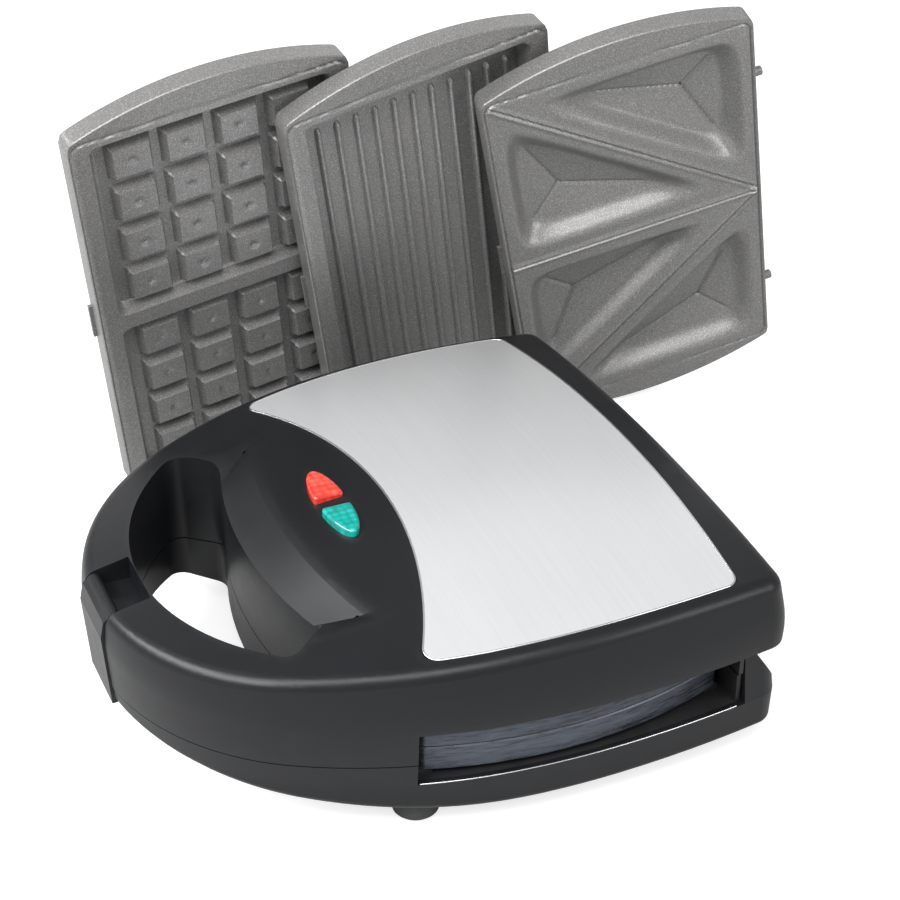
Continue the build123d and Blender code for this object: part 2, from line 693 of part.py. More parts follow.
# ================================================================ liners
def liner_land(low, inset):
    """Flat land of a liner around the opening for the heater."""
    with BuildPart() as land:
        with BuildSketch(Plane.XY.offset(low)):
            add(outline(inset))
            with Locations((0, STEP_Y - LINER_T)):
                Rectangle(2 * HALF_WIDTH, 2 * HALF_WIDTH, align=(Align.CENTER, Align.MIN),
                          mode=Mode.INTERSECT)
            with Locations((0, PLATE_Y)):
                Rectangle(2 * LINER_OPEN_X, 2 * LINER_OPEN_W, mode=Mode.SUBTRACT)
        extrude(amount=LINER_T)
        for x, y in SCREWS:
            add(post(SCREW_R + PILOT_FIT, x, y, (low, low + LINER_T)), mode=Mode.SUBTRACT)
    return land.part


def cover(low, inset):
    """Flat cover of a handle part, with the finger gap through it."""
    with BuildPart() as sheet:
        with BuildSketch(Plane.XY.offset(low)):
            add(outline(inset))
            with Locations((0, STEP_Y)):
                Rectangle(2 * HALF_WIDTH, 2 * HALF_WIDTH, align=(Align.CENTER, Align.MAX),
                          mode=Mode.INTERSECT)
            add(grip_gap(WALL + LINER_FIT), mode=Mode.SUBTRACT)
            with Locations((0, FRONT_Y)):
                Rectangle(2 * (RECESS_HALF + WALL + LINER_FIT),
                          2 * (CHANNEL_Y + PAD_T + LINER_FIT - FRONT_Y), mode=Mode.SUBTRACT)
            with Locations((0, THUMB_Y - SLIDE_TRAVEL / 2)):
                Rectangle(2 * (THUMB_HALF + SLIDE_FIT), THUMB_LONG + SLIDE_TRAVEL + 2 * SLIDE_FIT,
                          mode=Mode.SUBTRACT)
        extrude(amount=LINER_T)
    return sheet.part


def rails(root_z, slide_low):
    """Two channels that carry a release slide, standing on the cover."""
    shelf = slide_low - SLIDE_FIT
    with BuildPart() as pair:
        for side in SIDES:
            inner, outer = SLIDE_HALF + SLIDE_FIT, SLIDE_HALF + SLIDE_FIT + RAIL_T
            lip = inner - 2 * RAIL_T
            add(slab(sorted((side * inner, side * outer)), (RAIL_END_Y, STEP_Y - LINER_T),
                     (min(root_z, shelf - RAIL_T), max(root_z, slide_low + SLIDE_T))))
            add(slab(sorted((side * lip, side * outer)), (RAIL_END_Y, STEP_Y - LINER_T),
                     (shelf - RAIL_T, shelf)))
    return pair.part


def seats(low, high):
    """Pads under the corners of a cooking plate's rim."""
    with BuildPart() as pads:
        for side in SIDES:
            for end in SIDES:
                x = side * (PLATE_L / 2 - CRESCENT - SEAT)
                y = PLATE_Y + end * (PLATE_W / 2 - SEAT_IN)
                add(slab((x - SEAT, x + SEAT), (y - SEAT_IN, y + SEAT_IN), (low, high)))
    return pads.part


SLIDE_LOW = LOWER_MATE_Z - LUG_TOP + NOSE_LIFT
UPPER_SLIDE_TOP = UPPER_MATE_Z + LUG_TOP - NOSE_LIFT
UPPER_SLIDE_LOW = UPPER_SLIDE_TOP - SLIDE_T


def nose_slot(low):
    """Opening in the step wall for the slide's nose."""
    return slab((-NOSE_HALF - SLIDE_FIT, NOSE_HALF + SLIDE_FIT), (STEP_Y - LINER_T, STEP_Y),
                (low - SLIDE_FIT, low + SLIDE_T + SLIDE_FIT))


def cross_wall(inset, y_span, z_span):
    """A wall across the inside of a housing."""
    with BuildPart() as wall:
        with BuildSketch(Plane.XY.offset(z_span[0])):
            add(outline(inset))
            with Locations((0, y_span[0])):
                Rectangle(2 * HALF_WIDTH, y_span[1] - y_span[0], align=(Align.CENTER, Align.MIN),
                          mode=Mode.INTERSECT)
        extrude(amount=z_span[1] - z_span[0])
    return wall.part


with BuildPart() as base_liner:
    add(liner_land(LINER_LOW, BASE_LINER_INSET))
    add(cover(COVER_LOW, BASE_LINER_INSET))
    add(cross_wall(BASE_LINER_INSET, STEP_SPAN, (LINER_LOW, COVER_TOP)))
    add(rails(COVER_LOW, SLIDE_LOW))
    add(cross_wall(BASE_LINER_INSET, TAB_SPAN, (LINER_LOW, LOWER_MATE_Z - MEET_GAP)))
    add(seats(LINER_TOP, LOWER_MATE_Z - PLATE_RIM))
    add(nose_slot(SLIDE_LOW), mode=Mode.SUBTRACT)
    for side in SIDES:
        with BuildSketch(Plane.XZ.offset(-TAB_Y)):
            with Locations((side * LOCK_PIN_X, LOWER_MATE_Z - LOCK_PIN_Z)):
                Circle(LOCK_PIN_R + PIN_FIT)
        extrude(amount=TAB_T, both=True, mode=Mode.SUBTRACT)
write(base_liner.part, "base_liner")

with BuildPart() as lid_liner:
    add(liner_land(LID_LINER_LOW, LID_LAND_INSET))
    add(cover(LID_COVER_LOW, LID_COVER_INSET))
    add(cross_wall(LID_COVER_INSET, STEP_SPAN, (LID_COVER_LOW, LID_LINER_TOP)))
    add(rails(LID_COVER_TOP, UPPER_SLIDE_LOW))
    add(cross_wall(LID_COVER_INSET, TAB_SPAN, (UPPER_MATE_Z + MEET_GAP, LID_LINER_TOP)))
    add(seats(UPPER_MATE_Z + PLATE_RIM, LID_LINER_LOW))
    add(nose_slot(UPPER_SLIDE_LOW), mode=Mode.SUBTRACT)
    for side in SIDES:
        with BuildSketch(Plane.XZ.offset(-TAB_Y)):
            with Locations((side * LOCK_PIN_X, UPPER_MATE_Z + LOCK_PIN_Z)):
                Circle(LOCK_PIN_R + PIN_FIT)
        extrude(amount=TAB_T, both=True, mode=Mode.SUBTRACT)
        # slots for the hinge arms
        add(slab((side * HINGE_X - EAR_OUT - EAR_GAP, side * HINGE_X + EAR_OUT + EAR_GAP),
                 (HINGE_Y - KNUCKLE_R - EAR_GAP, HINGE_Y + KNUCKLE_R + EAR_GAP),
                 (LID_LINER_LOW, LID_LINER_TOP)), mode=Mode.SUBTRACT)
    for x, y in RIVETS:
        add(post(RIVET_R + PILOT_FIT, x, y, (LID_LINER_LOW, LID_LINER_TOP)), mode=Mode.SUBTRACT)
write(lid_liner.part, "lid_liner")


# ================================================================ hinge
def ear(x_mid):
    """One of the base's four hinge ears: a disc on a stem that stands on the slope."""
    foot = WALL / 2
    front_y = HINGE_Y - KNUCKLE_R
    with BuildPart() as knuckle:
        add(side_profile([(front_y, HINGE_Z), (front_y, slope_z(front_y) - foot),
                          (HINGE_Y, slope_z(HINGE_Y) - foot), (HINGE_Y, HINGE_Z)],
                         EAR_T / 2, x_mid))
        add(rod(KNUCKLE_R, (x_mid - EAR_T / 2, x_mid + EAR_T / 2), HINGE_Y, HINGE_Z))
    return knuckle.part


def hinge_arm(x_mid):
    """Steel arm that turns on the hinge pin, with a flange riveted on the lid's liner."""
    front_y, back_y = HINGE_Y - KNUCKLE_R, HINGE_Y + KNUCKLE_R
    flange_end = ARM_FRONT_Y + FLANGE_DEEP
    with BuildPart() as arm:
        add(side_profile([(front_y, HINGE_Z), (front_y, LID_LINER_TOP),
                          (ARM_FRONT_Y, LID_LINER_TOP), (ARM_FRONT_Y, LID_LINER_TOP + ARM_RISE / 2),
                          (ARM_TOP_Y, LID_LINER_TOP + ARM_RISE), (back_y, LID_LINER_TOP + ARM_RISE),
                          (back_y, HINGE_Z)], ARM_T / 2, x_mid))
        add(rod(KNUCKLE_R, (x_mid - ARM_T / 2, x_mid + ARM_T / 2), HINGE_Y, HINGE_Z))
        add(slab((x_mid - FLANGE_HALF, x_mid + FLANGE_HALF), (ARM_FRONT_Y, flange_end),
                 (LID_LINER_TOP, LID_LINER_TOP + FLANGE_T)))
        add(rod(HINGE_PIN_R + PIN_RUN, (x_mid - ARM_T, x_mid + ARM_T), HINGE_Y, HINGE_Z),
            mode=Mode.SUBTRACT)
        for x, y in RIVETS:
            add(post(RIVET_R + PILOT_FIT, x, y, (LID_LINER_TOP, LID_LINER_TOP + FLANGE_T)),
                mode=Mode.SUBTRACT)
    return arm.part


write(hinge_arm(-HINGE_X), "hinge_arm_left")
write(hinge_arm(HINGE_X), "hinge_arm_right")

with BuildPart() as hinge_pins:
    for side in SIDES:
        add(rod(HINGE_PIN_R, (side * HINGE_X - EAR_OUT - EAR_GAP / 2,
                              side * HINGE_X + EAR_OUT + EAR_GAP / 2), HINGE_Y, HINGE_Z))
write(hinge_pins.part, "hinge_pins")

with BuildPart() as hinge_rivets:
    for x, y in RIVETS:
        add(post(RIVET_R, x, y, (LID_LINER_LOW - RIVET_HEAD_T, LID_LINER_TOP + FLANGE_T + RIVET_HEAD_T)))
        add(post(RIVET_HEAD_R, x, y, (LID_LINER_LOW - RIVET_HEAD_T, LID_LINER_LOW)))
        add(post(RIVET_HEAD_R, x, y, (LID_LINER_TOP + FLANGE_T, LID_LINER_TOP + FLANGE_T + RIVET_HEAD_T)))
write(hinge_rivets.part, "hinge_rivets")

# ================================================================ base shell
with BuildPart() as base_cavity:
    add(base_block(WALL, WALL))
    with BuildSketch():
        add(grip_gap(WALL))
    extrude(amount=CROWN_Z, mode=Mode.SUBTRACT)
    add(slab((-RECESS_HALF - WALL, RECESS_HALF + WALL), (FRONT_Y, CHANNEL_Y + PAD_T), (0, CROWN_Z)),
        mode=Mode.SUBTRACT)
    for x, y in SCREWS:
        add(post(BOSS_R, x, y, (0, LINER_LOW)), mode=Mode.SUBTRACT)
    for x, y in FEET:
        add(post(FOOT_STEM_R + WALL, x, y, (0, FOOT_SEAT_Z + FOOT_STEM_L + WALL)),
            mode=Mode.SUBTRACT)

with BuildPart() as base_outer:
    add(base_block(0, 0))
    low_faces = base_outer.faces().filter_by(lambda f: f.normal_at().Z < -0.8)
    low_edges = [e for e in low_faces.edges()
                 if sum(1 for f in low_faces if any(e.is_same(g) for g in f.edges())) == 1]
    fillet(low_edges, KEEL_R)
    for x, y in FEET:
        add(post(FOOT_PAD_R, x, y, (FOOT_SEAT_Z, INSIDE_Z)))

with BuildPart() as base_shell:
    add(base_outer.part)
    add(base_cavity.part, mode=Mode.SUBTRACT)
    with BuildSketch():
        add(grip_gap(0))
    extrude(amount=CROWN_Z, mode=Mode.SUBTRACT)
    add(slab((-RECESS_HALF, RECESS_HALF), (FRONT_Y, CHANNEL_Y), (0, CROWN_Z)), mode=Mode.SUBTRACT)
    for side in SIDES:
        for end in SIDES:
            add(ear(side * HINGE_X + end * (EAR_OUT - EAR_T / 2)))
        add(rod(HINGE_PIN_R + PIN_SEAT, (side * HINGE_X - 2 * EAR_OUT, side * HINGE_X + 2 * EAR_OUT),
                HINGE_Y, HINGE_Z), mode=Mode.SUBTRACT)
    for x, y in SCREWS:
        add(post(SCREW_R + PILOT_FIT, x, y, (LINER_TOP - SCREW_L - PILOT_END, LINER_TOP)),
            mode=Mode.SUBTRACT)
    for x, y in FEET:
        add(post(FOOT_STEM_R + FOOT_FIT, x, y, (0, FOOT_SEAT_Z + FOOT_STEM_L + PILOT_END)),
            mode=Mode.SUBTRACT)
    with BuildSketch(Plane.XZ.offset(-REAR_Y)):
        with Locations((GLAND_X, GLAND_Z)):
            Circle(GLAND_R + FOOT_FIT)
    extrude(amount=2 * WALL + BASE_INSET, mode=Mode.SUBTRACT)
write(base_shell.part, "base_shell")

with BuildPart() as feet:
    for x, y in FEET:
        add(post(FOOT_R, x, y, (0, FOOT_SEAT_Z)))
        add(post(FOOT_STEM_R, x, y, (FOOT_SEAT_Z, FOOT_SEAT_Z + FOOT_STEM_L)))
    chamfer(feet.edges().group_by(Axis.Z)[0], FOOT_CHAMFER)
write(feet.part, "feet")


def screws(land, away):
    """The six screws of a liner: a pan head on the land, the shank into the boss."""
    with BuildPart() as group:
        for x, y in SCREWS:
            add(post(SCREW_HEAD_R, x, y, sorted((land, land - away * SCREW_HEAD_H))))
            add(post(SCREW_R, x, y, sorted((land, land + away * SCREW_L))))
    return group.part


write(screws(LINER_TOP, -1), "base_screws")
write(screws(LID_LINER_LOW, 1), "lid_screws")

# ================================================================ cord gland and terminal block
with BuildPart() as cord_gland:
    with BuildSketch(Plane.XY.offset(GLAND_Z)):
        wall_in = REAR_Y - BASE_INSET - WALL
        with BuildLine():
            Polyline((GLAND_X + GLAND_BORE_R, GLAND_OUT_Y), (GLAND_X + GLAND_FLANGE_R, GLAND_OUT_Y),
                     (GLAND_X + GLAND_FLANGE_R, GLAND_OUT_Y - GLAND_FLANGE_T),
                     (GLAND_X + GLAND_R, GLAND_OUT_Y - GLAND_FLANGE_T),
                     (GLAND_X + GLAND_R, wall_in - GLAND_TAIL),
                     (GLAND_X + GLAND_BORE_R, wall_in - GLAND_TAIL), close=True)
        make_face()
    revolve(axis=Axis((GLAND_X, 0, GLAND_Z), (0, 1, 0)))
write(cord_gland.part, "cord_gland")

with BuildPart() as terminal_block:
    add(slab((BLOCK_X - BLOCK_LONG / 2, BLOCK_X + BLOCK_LONG / 2),
             (BLOCK_Y - BLOCK_DEEP / 2, BLOCK_Y + BLOCK_DEEP / 2), (INSIDE_Z, INSIDE_Z + BLOCK_HIGH)))
    with BuildSketch(Plane.XY.offset(INSIDE_Z + BLOCK_HIGH)):
        with Locations((BLOCK_X, BLOCK_Y)):
            with GridLocations(BLOCK_LONG / BLOCK_WAYS, BLOCK_DEEP / 2, BLOCK_WAYS, 2):
                Circle(SCREW_R)
    extrude(amount=-BLOCK_HIGH / 2, mode=Mode.SUBTRACT)
write(terminal_block.part, "terminal_block")


# ================================================================ heaters
def reflector():
    """Steel tray that hangs under the liner and throws the heat at the cooking plate."""
    with BuildPart() as tray:
        with BuildSketch(Plane.XY.offset(TRAY_Z)):
            with Locations((0, PLATE_Y)):
                RectangleRounded(2 * (TRAY_X + TRAY_T), 2 * (TRAY_W + TRAY_T), TRAY_R)
        extrude(amount=TRAY_LIP_TOP - TRAY_Z)
        with BuildSketch(Plane.XY.offset(TRAY_LIP_TOP - TRAY_T)):
            with Locations((0, PLATE_Y)):
                RectangleRounded(2 * (TRAY_X + TRAY_LIP), 2 * (TRAY_W + TRAY_LIP), TRAY_R + TRAY_LIP)
        extrude(amount=TRAY_T)
        with BuildSketch(Plane.XY.offset(TRAY_TOP)):
            with Locations((0, PLATE_Y)):
                RectangleRounded(2 * TRAY_X, 2 * TRAY_W, TRAY_R)
        extrude(amount=TRAY_LIP_TOP - TRAY_TOP, mode=Mode.SUBTRACT)
        for end in SIDES:
            add(rod(INSULATOR_R + FOOT_FIT, (TUBE_END_X, TUBE_END_X + INSULATOR_L),
                    PLATE_Y + end * BEND_R, TUBE_Z), mode=Mode.SUBTRACT)
    return tray.part


def element():
    """Bent heating tube with a bare pin at each end."""
    with BuildPart() as tube:
        with BuildLine():
            Line((TUBE_END_X, PLATE_Y - BEND_R, TUBE_Z), (TUBE_BEND_X, PLATE_Y - BEND_R, TUBE_Z))
            ThreePointArc((TUBE_BEND_X, PLATE_Y - BEND_R, TUBE_Z),
                          (TUBE_BEND_X - BEND_R, PLATE_Y, TUBE_Z),
                          (TUBE_BEND_X, PLATE_Y + BEND_R, TUBE_Z))
            Line((TUBE_BEND_X, PLATE_Y + BEND_R, TUBE_Z), (TUBE_END_X, PLATE_Y + BEND_R, TUBE_Z))
        with BuildSketch(Plane.YZ.offset(TUBE_END_X)):
            with Locations((PLATE_Y - BEND_R, TUBE_Z)):
                Circle(TUBE_R)
        sweep()
        for end in SIDES:
            add(rod(TERMINAL_R, (TUBE_END_X, TUBE_END_X + INSULATOR_L + TERMINAL_L),
                    PLATE_Y + end * BEND_R, TUBE_Z))
    return tube.part


def insulators():
    """Ceramic bushes that carry the tube's pins through the tray."""
    with BuildPart() as pair:
        for end in SIDES:
            add(rod(INSULATOR_R, (TUBE_END_X, TUBE_END_X + INSULATOR_L),
                    PLATE_Y + end * BEND_R, TUBE_Z))
            add(rod(TERMINAL_R + PILOT_FIT, (TUBE_END_X, TUBE_END_X + INSULATOR_L),
                    PLATE_Y + end * BEND_R, TUBE_Z), mode=Mode.SUBTRACT)
    return pair.part


def saddles():
    """Cradles that hold the tube off the tray."""
    with BuildPart() as group:
        for end in SIDES:
            for x in (SADDLE_AT, -SADDLE_AT):
                y = PLATE_Y + end * BEND_R
                add(slab((x - SADDLE_X / 2, x + SADDLE_X / 2), (y - SADDLE_Y / 2, y + SADDLE_Y / 2),
                         (TRAY_TOP, TUBE_Z)))
            add(rod(TUBE_R + PILOT_FIT, (TUBE_BEND_X, TUBE_END_X), PLATE_Y + end * BEND_R, TUBE_Z),
                mode=Mode.SUBTRACT)
    return group.part


def thermostat():
    """Round thermostat that stands on the tray between the tube's runs."""
    return post(THERMOSTAT_R, 0, PLATE_Y, (TRAY_TOP, TRAY_TOP + THERMOSTAT_H))


for maker, name in ((reflector, "reflector"), (element, "element"), (insulators, "insulators"),
                    (saddles, "saddles"), (thermostat, "thermostat")):
    piece = maker()
    write(piece.mirror(Plane.XY.offset(MEET_Z)), f"upper_{name}")
    write(piece, f"lower_{name}")

write(rod(FUSE_R, (FUSE_X - FUSE_L / 2, FUSE_X + FUSE_L / 2), PLATE_Y, TRAY_TOP + FUSE_R),
      "thermal_fuse")


# ================================================================ release slides
def slide(low, thumb_end):
    """Sliding catch: a thumb bar through the cover and a nose over the plate's lug."""
    with BuildPart() as catch:
        add(slab((-SLIDE_HALF, SLIDE_HALF), (SLIDE_BACK_Y, STEP_Y - LINER_T - SLIDE_FIT),
                 (low, low + SLIDE_T)))
        add(slab((-NOSE_HALF, NOSE_HALF), (SLIDE_BACK_Y, NOSE_TIP_Y), (low, low + SLIDE_T)))
        add(slab((-THUMB_HALF, THUMB_HALF), (THUMB_Y - THUMB_LONG / 2, THUMB_Y + THUMB_LONG / 2),
                 sorted((low + SLIDE_T / 2, thumb_end))))
    return catch.part


write(slide(SLIDE_LOW, COVER_TOP - LATCH_FLUSH), "lower_release")
write(slide(UPPER_SLIDE_LOW, LID_COVER_LOW + LATCH_FLUSH), "upper_release")

# ================================================================ cooking plates
END_R = (CRESCENT ** 2 + (PLATE_W / 2) ** 2) / (2 * CRESCENT)
END_C = PLATE_L / 2 - END_R


def plate_plan(inset):
    """Plan of a cooking plate: straight long sides and a shallow arc at each end."""
    half = PLATE_W / 2 - inset
    radius = END_R - inset
    corner_x = END_C + sqrt(radius ** 2 - half ** 2)
    with BuildSketch() as plan:
        with BuildLine():
            Line((-corner_x, half), (corner_x, half))
            ThreePointArc((corner_x, half), (END_C + radius, 0), (corner_x, -half))
            Line((corner_x, -half), (-corner_x, -half))
            ThreePointArc((-corner_x, -half), (-END_C - radius, 0), (-corner_x, half))
        make_face()
        fillet(plan.vertices(), PLATE_CORNER_R - inset)
    return plan.sketch


def plate_blank():
    """Flange, rim skirt, locking pins and lug, with the mating plane at z = 0."""
    with BuildPart() as blank:
        with BuildSketch():
            add(plate_plan(0))
        extrude(amount=-PLATE_T)
        with BuildSketch():
            add(plate_plan(0))
            add(plate_plan(PLATE_RIM_T), mode=Mode.SUBTRACT)
        extrude(amount=-PLATE_RIM)
        with BuildSketch(Plane.XZ.offset(-PLATE_W / 2 - LOCK_PIN_L)):
            with Locations((-LOCK_PIN_X, -LOCK_PIN_Z), (LOCK_PIN_X, -LOCK_PIN_Z)):
                Circle(LOCK_PIN_R)
        extrude(amount=LOCK_PIN_L + PLATE_RIM_T / 2)
        add(slab((-LUG_HALF, LUG_HALF), (-PLATE_W / 2 - LUG_OUT, -PLATE_W / 2 + PLATE_RIM_T / 2),
                 (-LUG_LOW, -LUG_TOP)))
        for side in SIDES:
            x = side * (PLATE_L / 2 - CRESCENT)
            add(slab((x - GROOVE_W / 2, x + GROOVE_W / 2), (-PLATE_W / 2 + SEAT, PLATE_W / 2 - SEAT),
                     (-GROOVE_DEPTH, 0)), mode=Mode.SUBTRACT)
    return blank.part


def toast_cell(points, grow):
    """One triangular pocket with a shallow pointed floor, or its outside when grown."""
    with BuildSketch() as plan:
        with BuildLine():
            Polyline(*points, close=True)
        make_face()
        offset(amount=-DIVIDER)
        fillet(plan.vertices(), POCKET_R)
        if grow:
            offset(amount=grow)
    with BuildPart() as pocket:
        with BuildSketch():
            add(plan.sketch)
        extrude(amount=-POCKET_DEPTH - grow, taper=POCKET_TAPER)
        base = pocket.faces().sort_by(Axis.Z)[0]
        tip = base.center() - Vector(0, 0, POCKET_DIP)
        loft(sections=[base, Vertex(*tip)])
    return pocket.part


def sandwich_pockets(grow):
    """Four triangular pockets, two in each half of the plate."""
    with BuildPart() as group:
        for side in SIDES:
            inner, outer = side * CELL_IN_X, side * CELL_END_X
            add(toast_cell([(inner, CELL_HALF_W), (outer, CELL_HALF_W), (outer, -CELL_HALF_W)], grow))
            add(toast_cell([(inner, CELL_HALF_W), (outer, -CELL_HALF_W), (inner, -CELL_HALF_W)], grow))
    return group.part


def pan(x_span, depth, grow):
    """One rectangular pan, or its outside when grown."""
    with BuildPart() as pocket:
        with BuildSketch():
            with Locations(((x_span[0] + x_span[1]) / 2, 0)):
                RectangleRounded(x_span[1] - x_span[0] + 2 * grow, 2 * (PAN_HALF_W + grow),
                                 PAN_R + grow)
        extrude(amount=-depth - grow, taper=PAN_TAPER)
    return pocket.part


def pan_spans():
    """The two pans of the waffle plate."""
    return [(-PAN_END_X, -CELL_IN_X), (CELL_IN_X, PAN_END_X)]


with BuildPart() as sandwich_form:
    add(plate_blank())
    add(sandwich_pockets(PLATE_T))
    add(sandwich_pockets(0), mode=Mode.SUBTRACT)

with BuildPart() as waffle_form:
    add(plate_blank())
    for span in pan_spans():
        add(pan(span, WAFFLE_DEPTH, PLATE_T))
    for span in pan_spans():
        add(pan(span, WAFFLE_DEPTH, 0), mode=Mode.SUBTRACT)
        mid = (span[0] + span[1]) / 2
        with BuildSketch(Plane.XY.offset(-WAFFLE_DEPTH)):
            with Locations((mid, 0)):
                with GridLocations(PEG_PITCH_X, PEG_PITCH_Y, PEG_COUNT, PEG_COUNT):
                    RectangleRounded(PEG_X, PEG_Y, PEG_CORNER_R)
        extrude(amount=PEG_H, taper=PEG_TAPER)
        with BuildSketch(Plane.XY.offset(PEG_H - WAFFLE_DEPTH)):
            with Locations((mid, 0)):
                with GridLocations(PEG_PITCH_X, PEG_PITCH_Y, PEG_COUNT, PEG_COUNT):
                    Circle(PEG_DIMPLE_R)
        extrude(amount=-PEG_DIMPLE, taper=PEG_TAPER, mode=Mode.SUBTRACT)

with BuildPart() as grill_form:
    add(plate_blank())
    add(pan((-PAN_END_X, PAN_END_X), PAN_DEPTH, PLATE_T))
    add(pan((-PAN_END_X, PAN_END_X), PAN_DEPTH, 0), mode=Mode.SUBTRACT)
    with BuildSketch(Plane.YZ):
        with Locations((0, RIB_H / 2 - PAN_DEPTH)):
            with GridLocations(RIB_PITCH, 1, RIB_COUNT, 1):
                RectangleRounded(RIB_W, RIB_H, RIB_W / 2 - RIB_SOFT)
        with Locations((0, -PAN_DEPTH)):
            with GridLocations(RIB_PITCH, 1, RIB_COUNT, 1):
                Rectangle(RIB_W, RIB_H)
    extrude(amount=PAN_END_X - RIB_END, both=True)


def stand(form, place):
    """Place a plate on its curved end beside the machine, cooking side towards it."""
    x, y = place[:2]
    turn, lean, tilt = (radians(angle) for angle in place[2:])
    face = Vector(cos(lean) * cos(turn), cos(lean) * sin(turn), -sin(lean))
    level = Vector(-sin(turn), cos(turn), 0)
    up = face.cross(level) * cos(tilt) - level * sin(tilt)
    height = END_R * cos(lean) + END_C * up.Z
    return form.moved(Location(Plane(origin=(x, y, height), x_dir=-up, z_dir=face)))


write(sandwich_form.part.moved(Location((0, PLATE_Y, LOWER_MATE_Z))), "lower_plate")
write(sandwich_form.part.moved(Location((0, PLATE_Y, LOWER_MATE_Z))).mirror(Plane.XY.offset(MEET_Z)),
      "upper_plate")
write(stand(waffle_form.part, WAFFLE_PLACE), "waffle_plate")
write(stand(grill_form.part, GRILL_PLACE), "grill_plate")
write(stand(sandwich_form.part, SANDWICH_PLACE), "sandwich_plate")
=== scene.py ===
import bpy, math
import numpy as np
from mathutils import Vector, Matrix


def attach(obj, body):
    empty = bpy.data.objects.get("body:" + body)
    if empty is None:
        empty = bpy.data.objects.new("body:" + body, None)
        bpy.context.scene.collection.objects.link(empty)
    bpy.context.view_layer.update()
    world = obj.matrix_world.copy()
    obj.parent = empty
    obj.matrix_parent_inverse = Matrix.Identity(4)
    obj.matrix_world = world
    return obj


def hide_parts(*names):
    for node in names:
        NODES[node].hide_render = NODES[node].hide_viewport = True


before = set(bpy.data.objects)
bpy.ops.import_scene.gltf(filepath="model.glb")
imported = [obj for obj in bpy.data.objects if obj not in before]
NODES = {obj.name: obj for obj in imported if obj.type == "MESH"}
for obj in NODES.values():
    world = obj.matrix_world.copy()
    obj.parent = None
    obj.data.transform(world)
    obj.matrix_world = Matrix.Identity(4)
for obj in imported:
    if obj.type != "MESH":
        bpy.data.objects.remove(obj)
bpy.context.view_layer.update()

# ---------------------------------------------------------------- sizes and camera
MM = 0.001
# places in metres, lens and sensor in millimetres, roll in degrees
CAMERA_AT = Vector((0.65445, -0.26924, 0.54604))
CAMERA_TO = Vector((-0.0749, 0.06075, 0.050))
CAMERA_LENS = 81.03
CAMERA_SENSOR = 36.0
CAMERA_ROLL = 0.3
BODY_MID = Vector((0.0, 0.0, 0.05))


# ---------------------------------------------------------------- shader groups
def socket(tree, name, kind, side, value=None):
    """Adds one named socket to a group."""
    s = tree.interface.new_socket(name, in_out=side, socket_type=kind)
    if value is not None:
        s.default_value = value
    return s


def new_group(name, inputs, outputs):
    """A shader group with its input and output nodes."""
    tree = bpy.data.node_groups.new(name, "ShaderNodeTree")
    for label, kind, value in inputs:
        socket(tree, label, kind, "INPUT", value)
    for label, kind in outputs:
        socket(tree, label, kind, "OUTPUT")
    return tree, tree.nodes.new("NodeGroupInput"), tree.nodes.new("NodeGroupOutput")


def node(tree, kind, **values):
    """A node with its properties and its unlinked inputs set."""
    n = tree.nodes.new(kind)
    for key, value in values.items():
        if hasattr(n, key) and key not in n.inputs.keys():
            setattr(n, key, value)
        else:
            n.inputs[key.replace("_", " ")].default_value = value
    return n


def math_node(tree, operation, a, b=None, clamp=False):
    """A Math node fed by sockets or numbers."""
    n = tree.nodes.new("ShaderNodeMath")
    n.operation = operation
    n.use_clamp = clamp
    for k, v in enumerate((a, b)):
        if v is None:
            continue
        if isinstance(v, (int, float)):
            n.inputs[k].default_value = v
        else:
            tree.links.new(v, n.inputs[k])
    return n.outputs[0]


def ramp(tree, fac, stops):
    """A colour ramp of grey or coloured stops."""
    n = tree.nodes.new("ShaderNodeValToRGB")
    e = n.color_ramp.elements
    while len(e) < len(stops):
        e.new(0.5)
    for k, (place, value) in enumerate(stops):
        e[k].position = place
        e[k].color = (value, value, value, 1) if isinstance(value, (int, float)) else (*value, 1)
    tree.links.new(fac, n.inputs[0])
    return n.outputs[0]


def mix_colour(tree, fac, a, b, blend="MIX"):
    """A colour mix fed by sockets or plain colours."""
    n = tree.nodes.new("ShaderNodeMix")
    n.data_type = "RGBA"
    n.blend_type = blend
    for k, v in ((0, fac), (6, a), (7, b)):
        if isinstance(v, (int, float)):
            n.inputs[k].default_value = v
        elif isinstance(v, tuple):
            n.inputs[k].default_value = (*v, 1)
        else:
            tree.links.new(v, n.inputs[k])
    return n.outputs[2]


